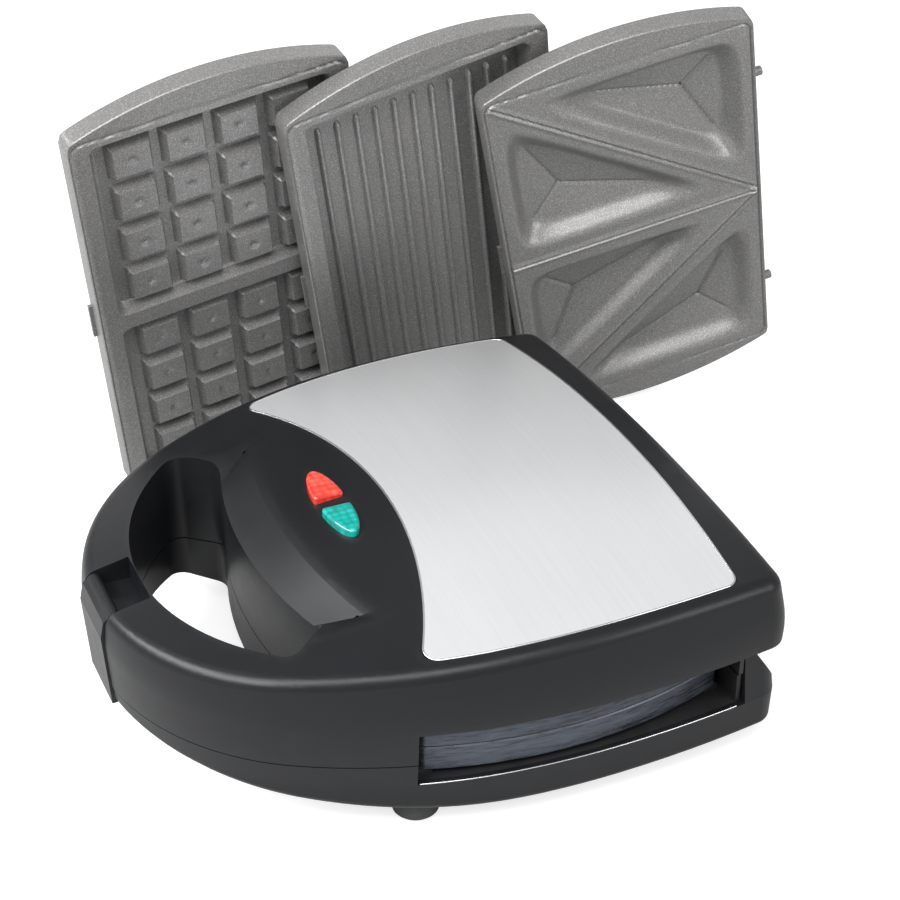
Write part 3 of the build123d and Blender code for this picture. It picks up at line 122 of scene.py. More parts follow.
def moulded_group():
    """Fine moulded-plastic skin: pebbled height, patchy gloss and a faint tone change."""
    tree, gin, out = new_group(
        "moulded skin",
        [("Vector", "NodeSocketVector", None), ("Base", "NodeSocketColor", (0.03, 0.03, 0.03, 1)),
         ("Gloss", "NodeSocketFloat", 0.3), ("Pebble Scale", "NodeSocketFloat", 900.0),
         ("Wear", "NodeSocketFloat", 0.3)],
        [("Color", "NodeSocketColor"), ("Roughness", "NodeSocketFloat"), ("Height", "NodeSocketFloat")])
    vec = gin.outputs["Vector"]
    pebble = node(tree, "ShaderNodeTexNoise", Detail=2.0, Roughness=0.5)
    tree.links.new(vec, pebble.inputs["Vector"])
    tree.links.new(gin.outputs["Pebble Scale"], pebble.inputs["Scale"])
    cloud = node(tree, "ShaderNodeTexNoise", Scale=22.0, Detail=3.0)
    tree.links.new(vec, cloud.inputs["Vector"])
    handling = node(tree, "ShaderNodeTexNoise", Scale=90.0, Detail=5.0, Roughness=0.7)
    tree.links.new(vec, handling.inputs["Vector"])
    edge = tree.nodes.new("ShaderNodeNewGeometry")
    worn = ramp(tree, edge.outputs["Pointiness"], [(0.51, 0.0), (0.56, 1.0)])
    scuff = math_node(tree, "MULTIPLY", worn, handling.outputs["Fac"])
    scuff = math_node(tree, "MULTIPLY", scuff, gin.outputs["Wear"], True)
    tone = mix_colour(tree, cloud.outputs["Fac"], (0.86, 0.86, 0.86), (1.12, 1.12, 1.13))
    colour = mix_colour(tree, 1.0, gin.outputs["Base"], tone, "MULTIPLY")
    colour = mix_colour(tree, scuff, colour, (0.16, 0.16, 0.165))
    tree.links.new(colour, out.inputs["Color"])
    rough = math_node(tree, "MULTIPLY", math_node(tree, "SUBTRACT", handling.outputs["Fac"], 0.5), 0.14)
    rough = math_node(tree, "ADD", rough, gin.outputs["Gloss"])
    rough = math_node(tree, "ADD", rough, math_node(tree, "MULTIPLY", scuff, 0.2), True)
    tree.links.new(rough, out.inputs["Roughness"])
    tree.links.new(pebble.outputs["Fac"], out.inputs["Height"])
    return tree


def brushed_group():
    """Brushed sheet: fine streaks along one axis, a few longer marks and soft finger haze."""
    tree, gin, out = new_group(
        "brushed streaks",
        [("Vector", "NodeSocketVector", None), ("Base", "NodeSocketColor", (0.7, 0.7, 0.7, 1)),
         ("Gloss", "NodeSocketFloat", 0.3), ("Along", "NodeSocketVector", (12.0, 900.0, 12.0)),
         ("Depth", "NodeSocketFloat", 0.25)],
        [("Color", "NodeSocketColor"), ("Roughness", "NodeSocketFloat"), ("Height", "NodeSocketFloat")])
    stretch = tree.nodes.new("ShaderNodeVectorMath")
    stretch.operation = "MULTIPLY"
    tree.links.new(gin.outputs["Vector"], stretch.inputs[0])
    tree.links.new(gin.outputs["Along"], stretch.inputs[1])
    fine = node(tree, "ShaderNodeTexNoise", Scale=1.0, Detail=4.0, Roughness=0.6)
    tree.links.new(stretch.outputs[0], fine.inputs["Vector"])
    wide = node(tree, "ShaderNodeTexNoise", Scale=0.22, Detail=2.0)
    tree.links.new(stretch.outputs[0], wide.inputs["Vector"])
    haze = node(tree, "ShaderNodeTexNoise", Scale=16.0, Detail=4.0, Roughness=0.6)
    tree.links.new(gin.outputs["Vector"], haze.inputs["Vector"])
    both = math_node(tree, "ADD", math_node(tree, "MULTIPLY", fine.outputs["Fac"], 0.65),
                     math_node(tree, "MULTIPLY", wide.outputs["Fac"], 0.35))
    shade = ramp(tree, both, [(0.3, 0.0), (0.7, 1.0)])
    dark = math_node(tree, "SUBTRACT", 1.0, gin.outputs["Depth"])
    low = tree.nodes.new("ShaderNodeCombineColor")
    for k in range(3):
        tree.links.new(dark, low.inputs[k])
    tone = mix_colour(tree, shade, low.outputs[0], (1.0, 1.0, 1.0))
    colour = mix_colour(tree, 1.0, gin.outputs["Base"], tone, "MULTIPLY")
    tree.links.new(colour, out.inputs["Color"])
    swing = math_node(tree, "MULTIPLY", gin.outputs["Depth"], 1.6)
    rough = math_node(tree, "MULTIPLY", math_node(tree, "SUBTRACT", both, 0.5), swing)
    rough = math_node(tree, "ADD", rough, gin.outputs["Gloss"])
    rough = math_node(tree, "ADD", rough,
                      math_node(tree, "MULTIPLY",
                                math_node(tree, "SUBTRACT", haze.outputs["Fac"], 0.5), 0.12), True)
    tree.links.new(rough, out.inputs["Roughness"])
    tree.links.new(both, out.inputs["Height"])
    return tree


def speckle_group():
    """Non-stick coating: close pale flecks in a darker grey, with a pebbled height."""
    tree, gin, out = new_group(
        "non-stick flecks",
        [("Vector", "NodeSocketVector", None), ("Base", "NodeSocketColor", (0.18, 0.18, 0.18, 1)),
         ("Fleck", "NodeSocketColor", (0.42, 0.42, 0.41, 1)), ("Gloss", "NodeSocketFloat", 0.45),
         ("Fleck Scale", "NodeSocketFloat", 1500.0)],
        [("Color", "NodeSocketColor"), ("Roughness", "NodeSocketFloat"), ("Height", "NodeSocketFloat")])
    vec = gin.outputs["Vector"]
    grain = node(tree, "ShaderNodeTexNoise", Detail=2.0, Roughness=0.6)
    tree.links.new(vec, grain.inputs["Vector"])
    tree.links.new(gin.outputs["Fleck Scale"], grain.inputs["Scale"])
    cells = node(tree, "ShaderNodeTexVoronoi")
    tree.links.new(vec, cells.inputs["Vector"])
    tree.links.new(gin.outputs["Fleck Scale"], cells.inputs["Scale"])
    cloud = node(tree, "ShaderNodeTexNoise", Scale=30.0, Detail=3.0)
    tree.links.new(vec, cloud.inputs["Vector"])
    flecks = ramp(tree, grain.outputs["Fac"], [(0.47, 0.0), (0.68, 1.0)])
    tone = mix_colour(tree, cloud.outputs["Fac"], (0.88, 0.88, 0.88), (1.1, 1.1, 1.1))
    base = mix_colour(tree, 1.0, gin.outputs["Base"], tone, "MULTIPLY")
    colour = mix_colour(tree, flecks, base, gin.outputs["Fleck"])
    tree.links.new(colour, out.inputs["Color"])
    rough = math_node(tree, "ADD", gin.outputs["Gloss"],
                      math_node(tree, "MULTIPLY",
                                math_node(tree, "SUBTRACT", cells.outputs["Distance"], 0.4), 0.15), True)
    tree.links.new(rough, out.inputs["Roughness"])
    tree.links.new(grain.outputs["Fac"], out.inputs["Height"])
    return tree


MOULDED, BRUSHED, FLECKED = moulded_group(), brushed_group(), speckle_group()


def finish(name, group, bump, distance, values, shader):
    """A material: one group on Object coordinates feeding the Principled shader and its bump."""
    mat = bpy.data.materials.new(name)
    mat.use_nodes = True
    tree = mat.node_tree
    principled = tree.nodes["Principled BSDF"]
    for key, value in shader.items():
        principled.inputs[key].default_value = value
    where = tree.nodes.new("ShaderNodeTexCoord")
    g = tree.nodes.new("ShaderNodeGroup")
    g.node_tree = group
    tree.links.new(where.outputs["Object"], g.inputs["Vector"])
    for key, value in values.items():
        g.inputs[key].default_value = value
    tree.links.new(g.outputs["Color"], principled.inputs["Base Color"])
    tree.links.new(g.outputs["Roughness"], principled.inputs["Roughness"])
    b = node(tree, "ShaderNodeBump", Strength=bump, Distance=distance)
    tree.links.new(g.outputs["Height"], b.inputs["Height"])
    tree.links.new(b.outputs["Normal"], principled.inputs["Normal"])
    return mat


# ---------------------------------------------------------------- materials
SATIN_BLACK = finish("satin black housing", MOULDED, 0.04, 0.0002,
                     {"Base": (0.006, 0.0065, 0.0078, 1), "Gloss": 0.36, "Wear": 0.05},
                     {"Specular IOR Level": 0.36})
MATT_BLACK = finish("heat-proof matt black", MOULDED, 0.12, 0.0003,
                    {"Base": (0.009, 0.009, 0.0095, 1), "Gloss": 0.5, "Wear": 0.1}, {})
STEEL = finish("brushed steel panel", BRUSHED, 0.03, 0.00003,
               {"Base": (0.70, 0.705, 0.715, 1), "Gloss": 0.37, "Along": (40.0, 2600.0, 40.0),
                "Depth": 0.07}, {"Metallic": 0.55})
# bright steel for the panel's folded edge, and for the painted highlight line on the base rim
EDGE_STEEL_AND_RIM_HIGHLIGHT = finish("bright sheet edge and painted rim highlight", BRUSHED, 0.03, 0.00003,
                    {"Base": (0.85, 0.85, 0.86, 1), "Gloss": 0.2, "Along": (60.0, 60.0, 900.0),
                     "Depth": 0.1}, {"Metallic": 1.0})
ZINC = finish("zinc-plated steel", BRUSHED, 0.05, 0.00005,
              {"Base": (0.5, 0.5, 0.52, 1), "Gloss": 0.32, "Along": (300.0, 300.0, 300.0),
               "Depth": 0.2}, {"Metallic": 1.0})
TIN = finish("aluminised sheet", BRUSHED, 0.05, 0.00005,
             {"Base": (0.62, 0.62, 0.61, 1), "Gloss": 0.25, "Along": (500.0, 20.0, 20.0),
              "Depth": 0.2}, {"Metallic": 1.0})
HOT_STEEL = finish("heat-darkened steel", BRUSHED, 0.08, 0.00006,
                   {"Base": (0.16, 0.14, 0.125, 1), "Gloss": 0.42, "Along": (30.0, 500.0, 500.0),
                    "Depth": 0.4}, {"Metallic": 1.0})
CERAMIC = finish("fired ceramic", MOULDED, 0.1, 0.0002,
                 {"Base": (0.75, 0.72, 0.66, 1), "Gloss": 0.55, "Wear": 0.0}, {})
RUBBER = finish("black rubber", MOULDED, 0.3, 0.0004,
                {"Base": (0.018, 0.018, 0.018, 1), "Gloss": 0.62, "Wear": 0.4}, {})
NON_STICK = finish("grey non-stick coating", FLECKED, 0.25, 0.00015,
                   {"Base": (0.20, 0.197, 0.195, 1), "Fleck": (0.37, 0.365, 0.36, 1), "Gloss": 0.34,
                    "Fleck Scale": 1700.0}, {"Metallic": 0.45})
PLATE_EDGE = finish("blue-grey plate edge", BRUSHED, 0.2, 0.0001,
                    {"Base": (0.13, 0.145, 0.18, 1), "Gloss": 0.34, "Along": (110.0, 110.0, 1100.0),
                     "Depth": 0.85}, {"Metallic": 0.6})
LAMP_GLASS = finish("neon lamp glass", MOULDED, 0.05, 0.0001,
                    {"Base": (0.8, 0.5, 0.35, 1), "Gloss": 0.1, "Wear": 0.0}, {})


def lens_material(name, deep, bright, glow):
    """Moulded lens with a prism pattern inside: brighter cells over a deep colour, also emitted as a
    painted glow.
    """
    mat = bpy.data.materials.new(name)
    mat.use_nodes = True
    tree = mat.node_tree
    p = tree.nodes["Principled BSDF"]
    p.inputs["Coat Weight"].default_value = 0.8
    p.inputs["Coat Roughness"].default_value = 0.06
    p.inputs["Roughness"].default_value = 0.15
    where = tree.nodes.new("ShaderNodeTexCoord")
    cells = node(tree, "ShaderNodeTexVoronoi", Scale=300.0, Randomness=0.35)
    tree.links.new(where.outputs["Object"], cells.inputs["Vector"])
    cloud = node(tree, "ShaderNodeTexNoise", Scale=120.0, Detail=1.0)
    tree.links.new(where.outputs["Object"], cloud.inputs["Vector"])
    shade = ramp(tree, cells.outputs["Distance"], [(0.1, 1.0), (0.7, 0.0)])
    shade = math_node(tree, "MULTIPLY", shade,
                      ramp(tree, cloud.outputs["Fac"], [(0.35, 0.5), (0.65, 1.0)]))
    colour = mix_colour(tree, shade, deep, bright)
    tree.links.new(colour, p.inputs["Base Color"])
    # painted glow: the lens colour is also emitted, at the strength given by glow
    tree.links.new(colour, p.inputs["Emission Color"])
    p.inputs["Emission Strength"].default_value = glow
    b = node(tree, "ShaderNodeBump", Strength=0.12, Distance=0.0003)
    tree.links.new(shade, b.inputs["Height"])
    tree.links.new(b.outputs["Normal"], p.inputs["Normal"])
    return mat


# the last number is the strength of each lens's painted glow
RED = lens_material("red lens", (0.50, 0.022, 0.014), (0.82, 0.11, 0.07), 0.18)
TEAL = lens_material("teal lens", (0.0, 0.19, 0.165), (0.0, 0.42, 0.36), 0.16)

FINISHES = {
    SATIN_BLACK: ["lid_shell", "base_shell", "latch_clip", "lower_release", "upper_release"],
    MATT_BLACK: ["lid_liner", "base_liner", "terminal_block", "lamp_holder"],
    STEEL: ["top_panel"],
    ZINC: ["hinge_arm_left", "hinge_arm_right", "hinge_pins", "hinge_rivets", "latch_pin",
           "base_screws", "lid_screws"],
    TIN: ["lower_reflector", "upper_reflector"],
    HOT_STEEL: ["lower_element", "upper_element", "lower_saddles", "upper_saddles",
                "lower_thermostat", "upper_thermostat", "thermal_fuse"],
    CERAMIC: ["lower_insulators", "upper_insulators"],
    RUBBER: ["feet", "cord_gland"],
    RED: ["red_lens"], TEAL: ["green_lens"], LAMP_GLASS: ["neon_lamps"],
    NON_STICK: ["waffle_plate", "grill_plate", "sandwich_plate"],
    PLATE_EDGE: ["lower_plate", "upper_plate"],
}
for material, names in FINISHES.items():
    for name in names:
        for place in NODES[name].material_slots:
            place.link = "OBJECT"
            place.material = material


# ---------------------------------------------------------------- cooking plates
# millimetres, in a plate's own frame: length along X, cooking side up
PLATE = {"length": 230.0, "width": 133.0, "crescent": 12.0, "corner": 5.0, "rim": 10.5,
         "rim_wall": 2.4, "sheet": 2.6, "straight": 97.5, "rolled": 0.45, "lip": 0.5,
         "end_lines": 15, "least_step": 0.05}
FRAME_GROOVE = {"x": 101.8, "y": 64.9, "corner": 5.0, "half": 0.95, "depth": 0.9}
RIB = {"count": 11, "pitch": 9.6, "half": 1.6, "height": 2.4, "reach": 86.0}
PIN = {"x": 67.0, "from": 65.5, "to": 71.7, "z": -6.5, "r": 2.35, "nose": 0.5, "sides": 20}
LUG = ((-9.0, 9.0), (-68.2, -65.0), (-10.3, -8.5))
CELL = {"in_x": 1.5, "out_x": 103.0, "half_y": 66.5}
RIDGE_LINES = (((1.5, 64.0), (101.0, -64.0)), ((0.0, -64.5), (0.0, 64.5)))
RIDGE = {"half": 1.5, "fade": 1.1, "height": 0.75, "groove": 1.05, "depth": 1.15, "clear": 0.5}
SHARP_ANGLE = math.radians(35)
PLATE_Y, LOWER_MATE_Z, UPPER_MATE_Z = 34.0, 39.5, 39.9
STANDING = {     # x, y, turn about the upright, lean towards the machine, tilt to the front
    "waffle_plate": (-156.0, -13.2, 5.0, 10.8, 8.0),
    "grill_plate": (-149.8, 88.2, 4.5, 11.0, 11.8),
    "sandwich_plate": (-132.2, 186.5, -6.2, 13.5, 13.6),
}


def end_arc(inset):
    """Centre and radius of a plate's curved end, pulled in by the inset."""
    half = PLATE["width"] / 2
    radius = (half ** 2 + PLATE["crescent"] ** 2) / (2 * PLATE["crescent"])
    return PLATE["length"] / 2 - radius, radius - inset


def half_length(y, inset):
    """How far a plate reaches along its length at each station across it."""
    centre, radius = end_arc(inset)
    corner = PLATE["corner"] - inset
    turn_y = PLATE["width"] / 2 - inset - corner
    turn_x = centre + math.sqrt((radius - corner) ** 2 - turn_y ** 2)
    y = np.abs(y)
    arc = centre + np.sqrt(radius ** 2 - np.minimum(y, turn_y + corner) ** 2)
    beyond = np.clip(y - turn_y, 0.0, corner)
    rounded = turn_x + np.sqrt(np.maximum(corner ** 2 - beyond ** 2, 0.0))
    return np.where(y > turn_y, np.minimum(rounded, arc), arc)


def stations(reach, breaks, step):
    """Grid lines from -reach to reach that keep every break, no further apart than the step."""
    marks = sorted({round(b, 4) for b in list(breaks) + [-reach, reach] if abs(b) <= reach})
    lines = [marks[0]]
    for a, b in zip(marks, marks[1:]):
        if b - a < PLATE["least_step"]:
            continue
        count = max(1, math.ceil((b - a) / step))
        lines += [a + (b - a) * (k + 1) / count for k in range(count)]
    return np.array(lines)


def soft(t):
    """Smooth step from 0 to 1."""
    t = np.clip(t, 0.0, 1.0)
    return t * t * (3 - 2 * t)


def box_depth(x, y, x_span, half_y, round_r):
    """Distance inside a rounded rectangle, negative outside it."""
    mid, half_x = (x_span[0] + x_span[1]) / 2, (x_span[1] - x_span[0]) / 2
    dx, dy = np.abs(x - mid) - half_x + round_r, np.abs(y) - half_y + round_r
    out = np.sqrt(np.maximum(dx, 0) ** 2 + np.maximum(dy, 0) ** 2) + np.minimum(np.maximum(dx, dy), 0)
    return round_r - out


def frame_depth(x, y):
    """Distance inside the frame line of the cooking side."""
    reach = FRAME_GROOVE["x"]
    return box_depth(x, y, (-reach, reach), FRAME_GROOVE["y"], FRAME_GROOVE["corner"])


def rim_groove(x, y):
    """The fine groove that frames the cooking side inside the curved ends."""
    return -FRAME_GROOVE["depth"] * (1 - soft(np.abs(frame_depth(x, y)) / FRAME_GROOVE["half"]))


PEG = {"pitch_x": 22.6, "pitch_y": 25.4, "x": 9.5, "y": 10.8, "height": 5.4, "slope": 0.424,
       "dimple": 2.4, "dimple_deep": 1.3, "rows": 4}
PEG_MID = (PEG["rows"] - 1) / 2
PAN_DEPTH, WAFFLE_DEPTH, PAN_SLOPE = 9.5, 7.0, 0.325
PAN_HALF_Y, PAN_X = 57.0, (4.0, 98.0)
PAN_MID = (PAN_X[0] + PAN_X[1]) / 2
WAFFLE_CORNER, GRILL_CORNER = 5.0, 6.0


def waffle_height(x, y):
    """Two pans, each with a grid of square pegs that have a dimple on top."""
    side = np.abs(x)
    walls = box_depth(side, y, PAN_X, PAN_HALF_Y, WAFFLE_CORNER) / PAN_SLOPE
    h = rim_groove(x, y) - np.clip(walls, 0, WAFFLE_DEPTH)
    for i in range(PEG["rows"]):
        for j in range(PEG["rows"]):
            dx = np.abs(side - PAN_MID - (i - PEG_MID) * PEG["pitch_x"])
            dy = np.abs(y - (j - PEG_MID) * PEG["pitch_y"])
            rise = np.minimum(PEG["x"] - dx, PEG["y"] - dy) / PEG["slope"]
            top = -WAFFLE_DEPTH + np.clip(rise, 0, PEG["height"])
            r = np.sqrt(dx ** 2 + dy ** 2)
            top = top - PEG["dimple_deep"] * (1 - soft(r / PEG["dimple"]))
            h = np.where(rise > 0, np.maximum(h, top), h)
    return h


RIB_MID = (RIB["count"] - 1) // 2


def grill_height(x, y):
    """One pan with fine ribs that stop short of its walls."""
    walls = box_depth(x, y, (-PAN_X[1], PAN_X[1]), PAN_HALF_Y, GRILL_CORNER) / PAN_SLOPE
    h = rim_groove(x, y) - np.clip(walls, 0, PAN_DEPTH)
    for k in range(RIB["count"]):
        across = np.abs(y - (k - RIB_MID) * RIB["pitch"])
        along = np.maximum(np.abs(x) - RIB["reach"], 0.0)
        d = np.sqrt(across ** 2 + along ** 2)
        h = h + RIB["height"] * np.sqrt(np.clip(1 - (d / RIB["half"]) ** 2, 0, 1))
    return h


def line_distance(x, y, a, b):
    """Distance from the segment between two points."""
    ax, ay, bx, by = *a, *b
    dx, dy = bx - ax, by - ay
    t = np.clip(((x - ax) * dx + (y - ay) * dy) / (dx * dx + dy * dy), 0, 1)
    return np.sqrt((x - ax - t * dx) ** 2 + (y - ay - t * dy) ** 2)


def triangle_depths(x, y, corners):
    """Distance inside each side of a triangle."""
    signed = sum(corners[k][0] * corners[(k + 1) % 3][1] - corners[(k + 1) % 3][0] * corners[k][1]
                 for k in range(3))
    depths = []
    for k in range(3):
        (ax, ay), (bx, by) = corners[k], corners[(k + 1) % 3]
        length = math.hypot(bx - ax, by - ay)
        across = (bx - ax) * (y - ay) - (by - ay) * (x - ax)
        depths.append(across / length * math.copysign(1, signed))
    return depths


# crease: how far it runs from the pocket's middle to a corner, as a share of the way
POCKET = {"margin": 8.5, "wall": 9.0, "lead": 2.0, "depth": 8.2, "dip": 3.6, "dip_from": 0.75,
          "round": 5.0, "crease": 0.42, "crease_half": 1.1, "crease_deep": 0.7}
EXPONENT_SPAN = (-40, 60)


def pocket_middle(corners):
    """The point of a triangle that is equally far from its three sides."""
    weights = [math.dist(corners[(k + 1) % 3], corners[(k + 2) % 3]) for k in range(3)]
    return tuple(sum(w * c[axis] for w, c in zip(weights, corners)) / sum(weights)
                 for axis in (0, 1))


def sandwich_height(x, y):
    """Four soft triangular pockets with a creased floor, between fine double ridges."""
    side = np.abs(x)
    h = rim_groove(x, y)
    near, far, half = CELL["in_x"], CELL["out_x"], CELL["half_y"]
    cells = (((near, half), (far, half), (far, -half)), ((near, half), (far, -half), (near, -half)))
    for corners in cells:
        depths = triangle_depths(side, y, corners)
        r = POCKET["round"]
        inner = [d - POCKET["margin"] for d in depths]
        # rounded corners: a soft minimum of the three sides
        blend = -r * np.log(sum(np.exp(-np.clip(d, *EXPONENT_SPAN) / r) for d in inner))
        wall = soft((blend + POCKET["lead"]) / POCKET["wall"])
        floor_in = np.minimum(np.minimum(inner[0], inner[1]), inner[2])
        deepest = float(np.max(floor_in))
        start = POCKET["wall"] * POCKET["dip_from"]
        dip = np.clip((floor_in - start) / (deepest - start), 0, 1)
        h = h - POCKET["depth"] * wall - POCKET["dip"] * dip
        middle = pocket_middle(corners)
        for corner in corners:
            tip = tuple(m + (c - m) * POCKET["crease"] for m, c in zip(middle, corner))
            crease = soft(line_distance(side, y, middle, tip) / POCKET["crease_half"])
            h = h - POCKET["crease_deep"] * (1 - crease)
    inside = frame_depth(x, y)
    for a, b in RIDGE_LINES:
        d = line_distance(side, y, a, b)
        ridge = (RIDGE["height"] * (1 - soft((d - RIDGE["half"]) / RIDGE["fade"]))
                 - RIDGE["depth"] * (1 - soft(d / RIDGE["groove"])))
        h = h + np.where(inside > RIDGE["clear"], ridge, 0.0)
    return h


PEG_WALL = PEG["height"] * PEG["slope"]
WAFFLE_X = [s * (PAN_MID + (i - PEG_MID) * PEG["pitch_x"] + e * w)
            for s in (-1, 1) for i in range(PEG["rows"])
            for e in (-1, 1) for w in (PEG["x"], PEG["x"] - PEG_WALL)]
WAFFLE_Y = [(j - PEG_MID) * PEG["pitch_y"] + e * w for j in range(PEG["rows"])
            for e in (-1, 1) for w in (PEG["y"], PEG["y"] - PEG_WALL)]
PAN_WALL = PAN_DEPTH * PAN_SLOPE
PAN_LINES_X = [s * v for s in (-1, 1)
               for v in (PAN_X[0], PAN_X[0] + PAN_WALL, PAN_X[1] - PAN_WALL, PAN_X[1])]
PAN_LINES_Y = [s * v for s in (-1, 1) for v in (PAN_HALF_Y, PAN_HALF_Y - PAN_WALL)]
RIB_STEPS = (-RIB["half"], -1.1, -0.5, 0.0, 0.5, 1.1, RIB["half"])
RIB_LINES_Y = [(k - RIB_MID) * RIB["pitch"] + o for k in range(RIB["count"]) for o in RIB_STEPS]
# height over the plate, grid lines to keep along X and Y, widest grid step
FORMS = {
    "waffle": (waffle_height, WAFFLE_X + PAN_LINES_X, WAFFLE_Y + PAN_LINES_Y, 1.25),
    "grill": (grill_height, PAN_LINES_X[2:4] + PAN_LINES_X[6:], RIB_LINES_Y + PAN_LINES_Y, 1.3),
    "sandwich": (sandwich_height, [], [], 0.95),
}


def plate_shell(form):
    """Points and faces of one cooking plate in its own frame, in millimetres."""
    height, breaks_x, breaks_y, step = FORMS[form]
    straight, edge_y = PLATE["straight"], PLATE["width"] / 2 - PLATE["corner"]
    cols = stations(straight, breaks_x, step)
    rows = stations(PLATE["width"] / 2, list(breaks_y) + [-edge_y, edge_y], step)
    ends = np.linspace(0, 1, PLATE["end_lines"])[1:]

    def surface(inset):
        scale = (PLATE["width"] / 2 - inset) / (PLATE["width"] / 2)
        y = rows * scale
        reach = half_length(y, inset)
        x = np.concatenate([-(straight + (reach[:, None] - straight) * ends[::-1]),
                            np.repeat(cols[None, :], len(y), 0),
                            straight + (reach[:, None] - straight) * ends], 1)
        return x, np.repeat(y[:, None], x.shape[1], 1)

    x, y = surface(0.0)
    front = np.stack([x, y, height(x, y)], 2)
    bx, by = surface(PLATE["rim_wall"])
    back = np.stack([bx, by, np.minimum(height(bx, by), 0) - PLATE["sheet"]], 2)
    n_rows, n_cols = x.shape
    count = n_rows * n_cols
    ring = ([(0, c) for c in range(n_cols)] + [(r, n_cols - 1) for r in range(1, n_rows)]
            + [(n_rows - 1, c) for c in range(n_cols - 2, -1, -1)]
            + [(r, 0) for r in range(n_rows - 2, 0, -1)])
    edge = np.array([r * n_cols + c for r, c in ring])
    flat_front, flat_back = front.reshape(-1, 3), back.reshape(-1, 3)
    lip = flat_front[edge].copy()
    lip[:, 2] = -PLATE["lip"]
    outer, inner = flat_front[edge].copy(), flat_back[edge].copy()
    outer[:, 2] = inner[:, 2] = -PLATE["rim"]
    # the top edge is rolled over by a small radius
    pull = 1 - PLATE["rolled"] / np.maximum(np.linalg.norm(flat_front[edge][:, :2], axis=1), 1)
    flat_front[edge, :2] *= pull[:, None]
    points = np.concatenate([flat_front, flat_back, lip, outer, inner])
    base = [0, count, 2 * count, 2 * count + len(edge), 2 * count + 2 * len(edge)]
    r, c = np.meshgrid(np.arange(n_rows - 1), np.arange(n_cols - 1), indexing="ij")
    a = (r * n_cols + c).ravel()
    quads = np.stack([a, a + 1, a + n_cols + 1, a + n_cols], 1)
    k = np.arange(len(edge))
    nxt = (k + 1) % len(edge)
    bands = [(edge, base[2] + k), (base[2] + k, base[3] + k), (base[3] + k, base[4] + k),
             (base[4] + k, base[1] + edge)]
    faces = [quads, base[1] + quads[:, ::-1]]
    for top, low in bands:
        faces.append(np.stack([top, low, low[nxt], top[nxt]], 1))
    skirt_from = len(faces[0]) + len(faces[1])
    return points, np.concatenate(faces), skirt_from


def tube_points(start, end, radius):
    """A closed round bar with a bevelled nose between two points: its points and faces."""
    sides, nose = PIN["sides"], PIN["nose"]
    a, b = Vector(start), Vector(end)
    along = (b - a).normalized()
    side = along.orthogonal().normalized()
    other = along.cross(side)
    rings = []
    for centre, r in ((a, radius), (b - along * nose, radius), (b, radius - nose)):
        rings += [centre + (side * math.cos(t) + other * math.sin(t)) * r
                  for t in (2 * math.pi * k / sides for k in range(sides))]
    faces = [tuple(range(sides - 1, -1, -1)), tuple(2 * sides + k for k in range(sides))]
    for level in (0, 1):
        for k in range(sides):
            n = (k + 1) % sides
            faces.append((level * sides + k, level * sides + n, (level + 1) * sides + n,
                          (level + 1) * sides + k))
    return [tuple(p) for p in rings], faces


def block_points(x_span, y_span, z_span):
    """A plain rectangular lug: its points and faces."""
    points = [(x, y, z) for z in z_span for y in y_span for x in x_span]
    return points, [(0, 2, 3, 1), (4, 5, 7, 6), (0, 1, 5, 4), (1, 3, 7, 5), (3, 2, 6, 7), (2, 0, 4, 6)]


def stand_frame(place):
    """Where a loose plate stands: its axes and its middle."""
    x, y = place[:2]
    turn, lean, tilt = (math.radians(v) for v in place[2:])
    face = Vector((math.cos(lean) * math.cos(turn), math.cos(lean) * math.sin(turn),
                   -math.sin(lean)))
    level = Vector((-math.sin(turn), math.cos(turn), 0.0))
    up = face.cross(level) * math.cos(tilt) - level * math.sin(tilt)
    centre, radius = end_arc(0.0)
    height = radius * math.cos(lean) + centre * up.z
    x_axis, z_axis = -up, face
    return np.array([x_axis, z_axis.cross(x_axis), z_axis]), np.array([x, y, height])


def cooking_plate(node_name, form, body, axes, middle, flip=False):
    """One cooking plate with its pins and lug, placed for its node."""
    points, faces, skirt_from = plate_shell(form)
    skins = [0] * skirt_from + [1] * (len(faces) - skirt_from)
    faces = [tuple(int(v) for v in f) for f in faces]
    extra = [tube_points((x, PIN["from"], PIN["z"]), (x, PIN["to"], PIN["z"]), PIN["r"])
             for x in (-PIN["x"], PIN["x"])]
    extra.append(block_points(*LUG))
    for more, sides in extra:
        shift = len(points)
        points = np.concatenate([points, np.array(more)])
        faces += [tuple(v + shift for v in f) for f in sides]
        skins += [1] * len(sides)
    if flip:
        points = points * np.array([1, 1, -1])
        faces = [f[::-1] for f in faces]
    world = (points @ axes + middle) * MM
    mesh = bpy.data.meshes.new(node_name + " dressed")
    mesh.from_pydata(world.tolist(), [], faces)
    mesh.materials.append(NON_STICK)
    mesh.materials.append(NON_STICK if node_name in STANDING else PLATE_EDGE)
    mesh.polygons.foreach_set("material_index", skins)
    mesh.shade_smooth()
    mesh.set_sharp_from_angle(angle=SHARP_ANGLE)
    piece = bpy.data.objects.new(node_name + "_dressed", mesh)
    bpy.context.scene.collection.objects.link(piece)
    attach(piece, body)
    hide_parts(node_name)


UPRIGHT = np.eye(3)
cooking_plate("lower_plate", "sandwich", "base", UPRIGHT, np.array([0, PLATE_Y, LOWER_MATE_Z]))
cooking_plate("upper_plate", "sandwich", "lid", UPRIGHT, np.array([0, PLATE_Y, UPPER_MATE_Z]),
              flip=True)
for plate_name, form in (("waffle_plate", "waffle"), ("grill_plate", "grill"),
                         ("sandwich_plate", "sandwich")):
    cooking_plate(plate_name, form, "base", *stand_frame(STANDING[plate_name]))


# ---------------------------------------------------------------- fine edges and a painted highlight line
FACES_UP = 0.7      # least upward part of a normal that counts as an upper face


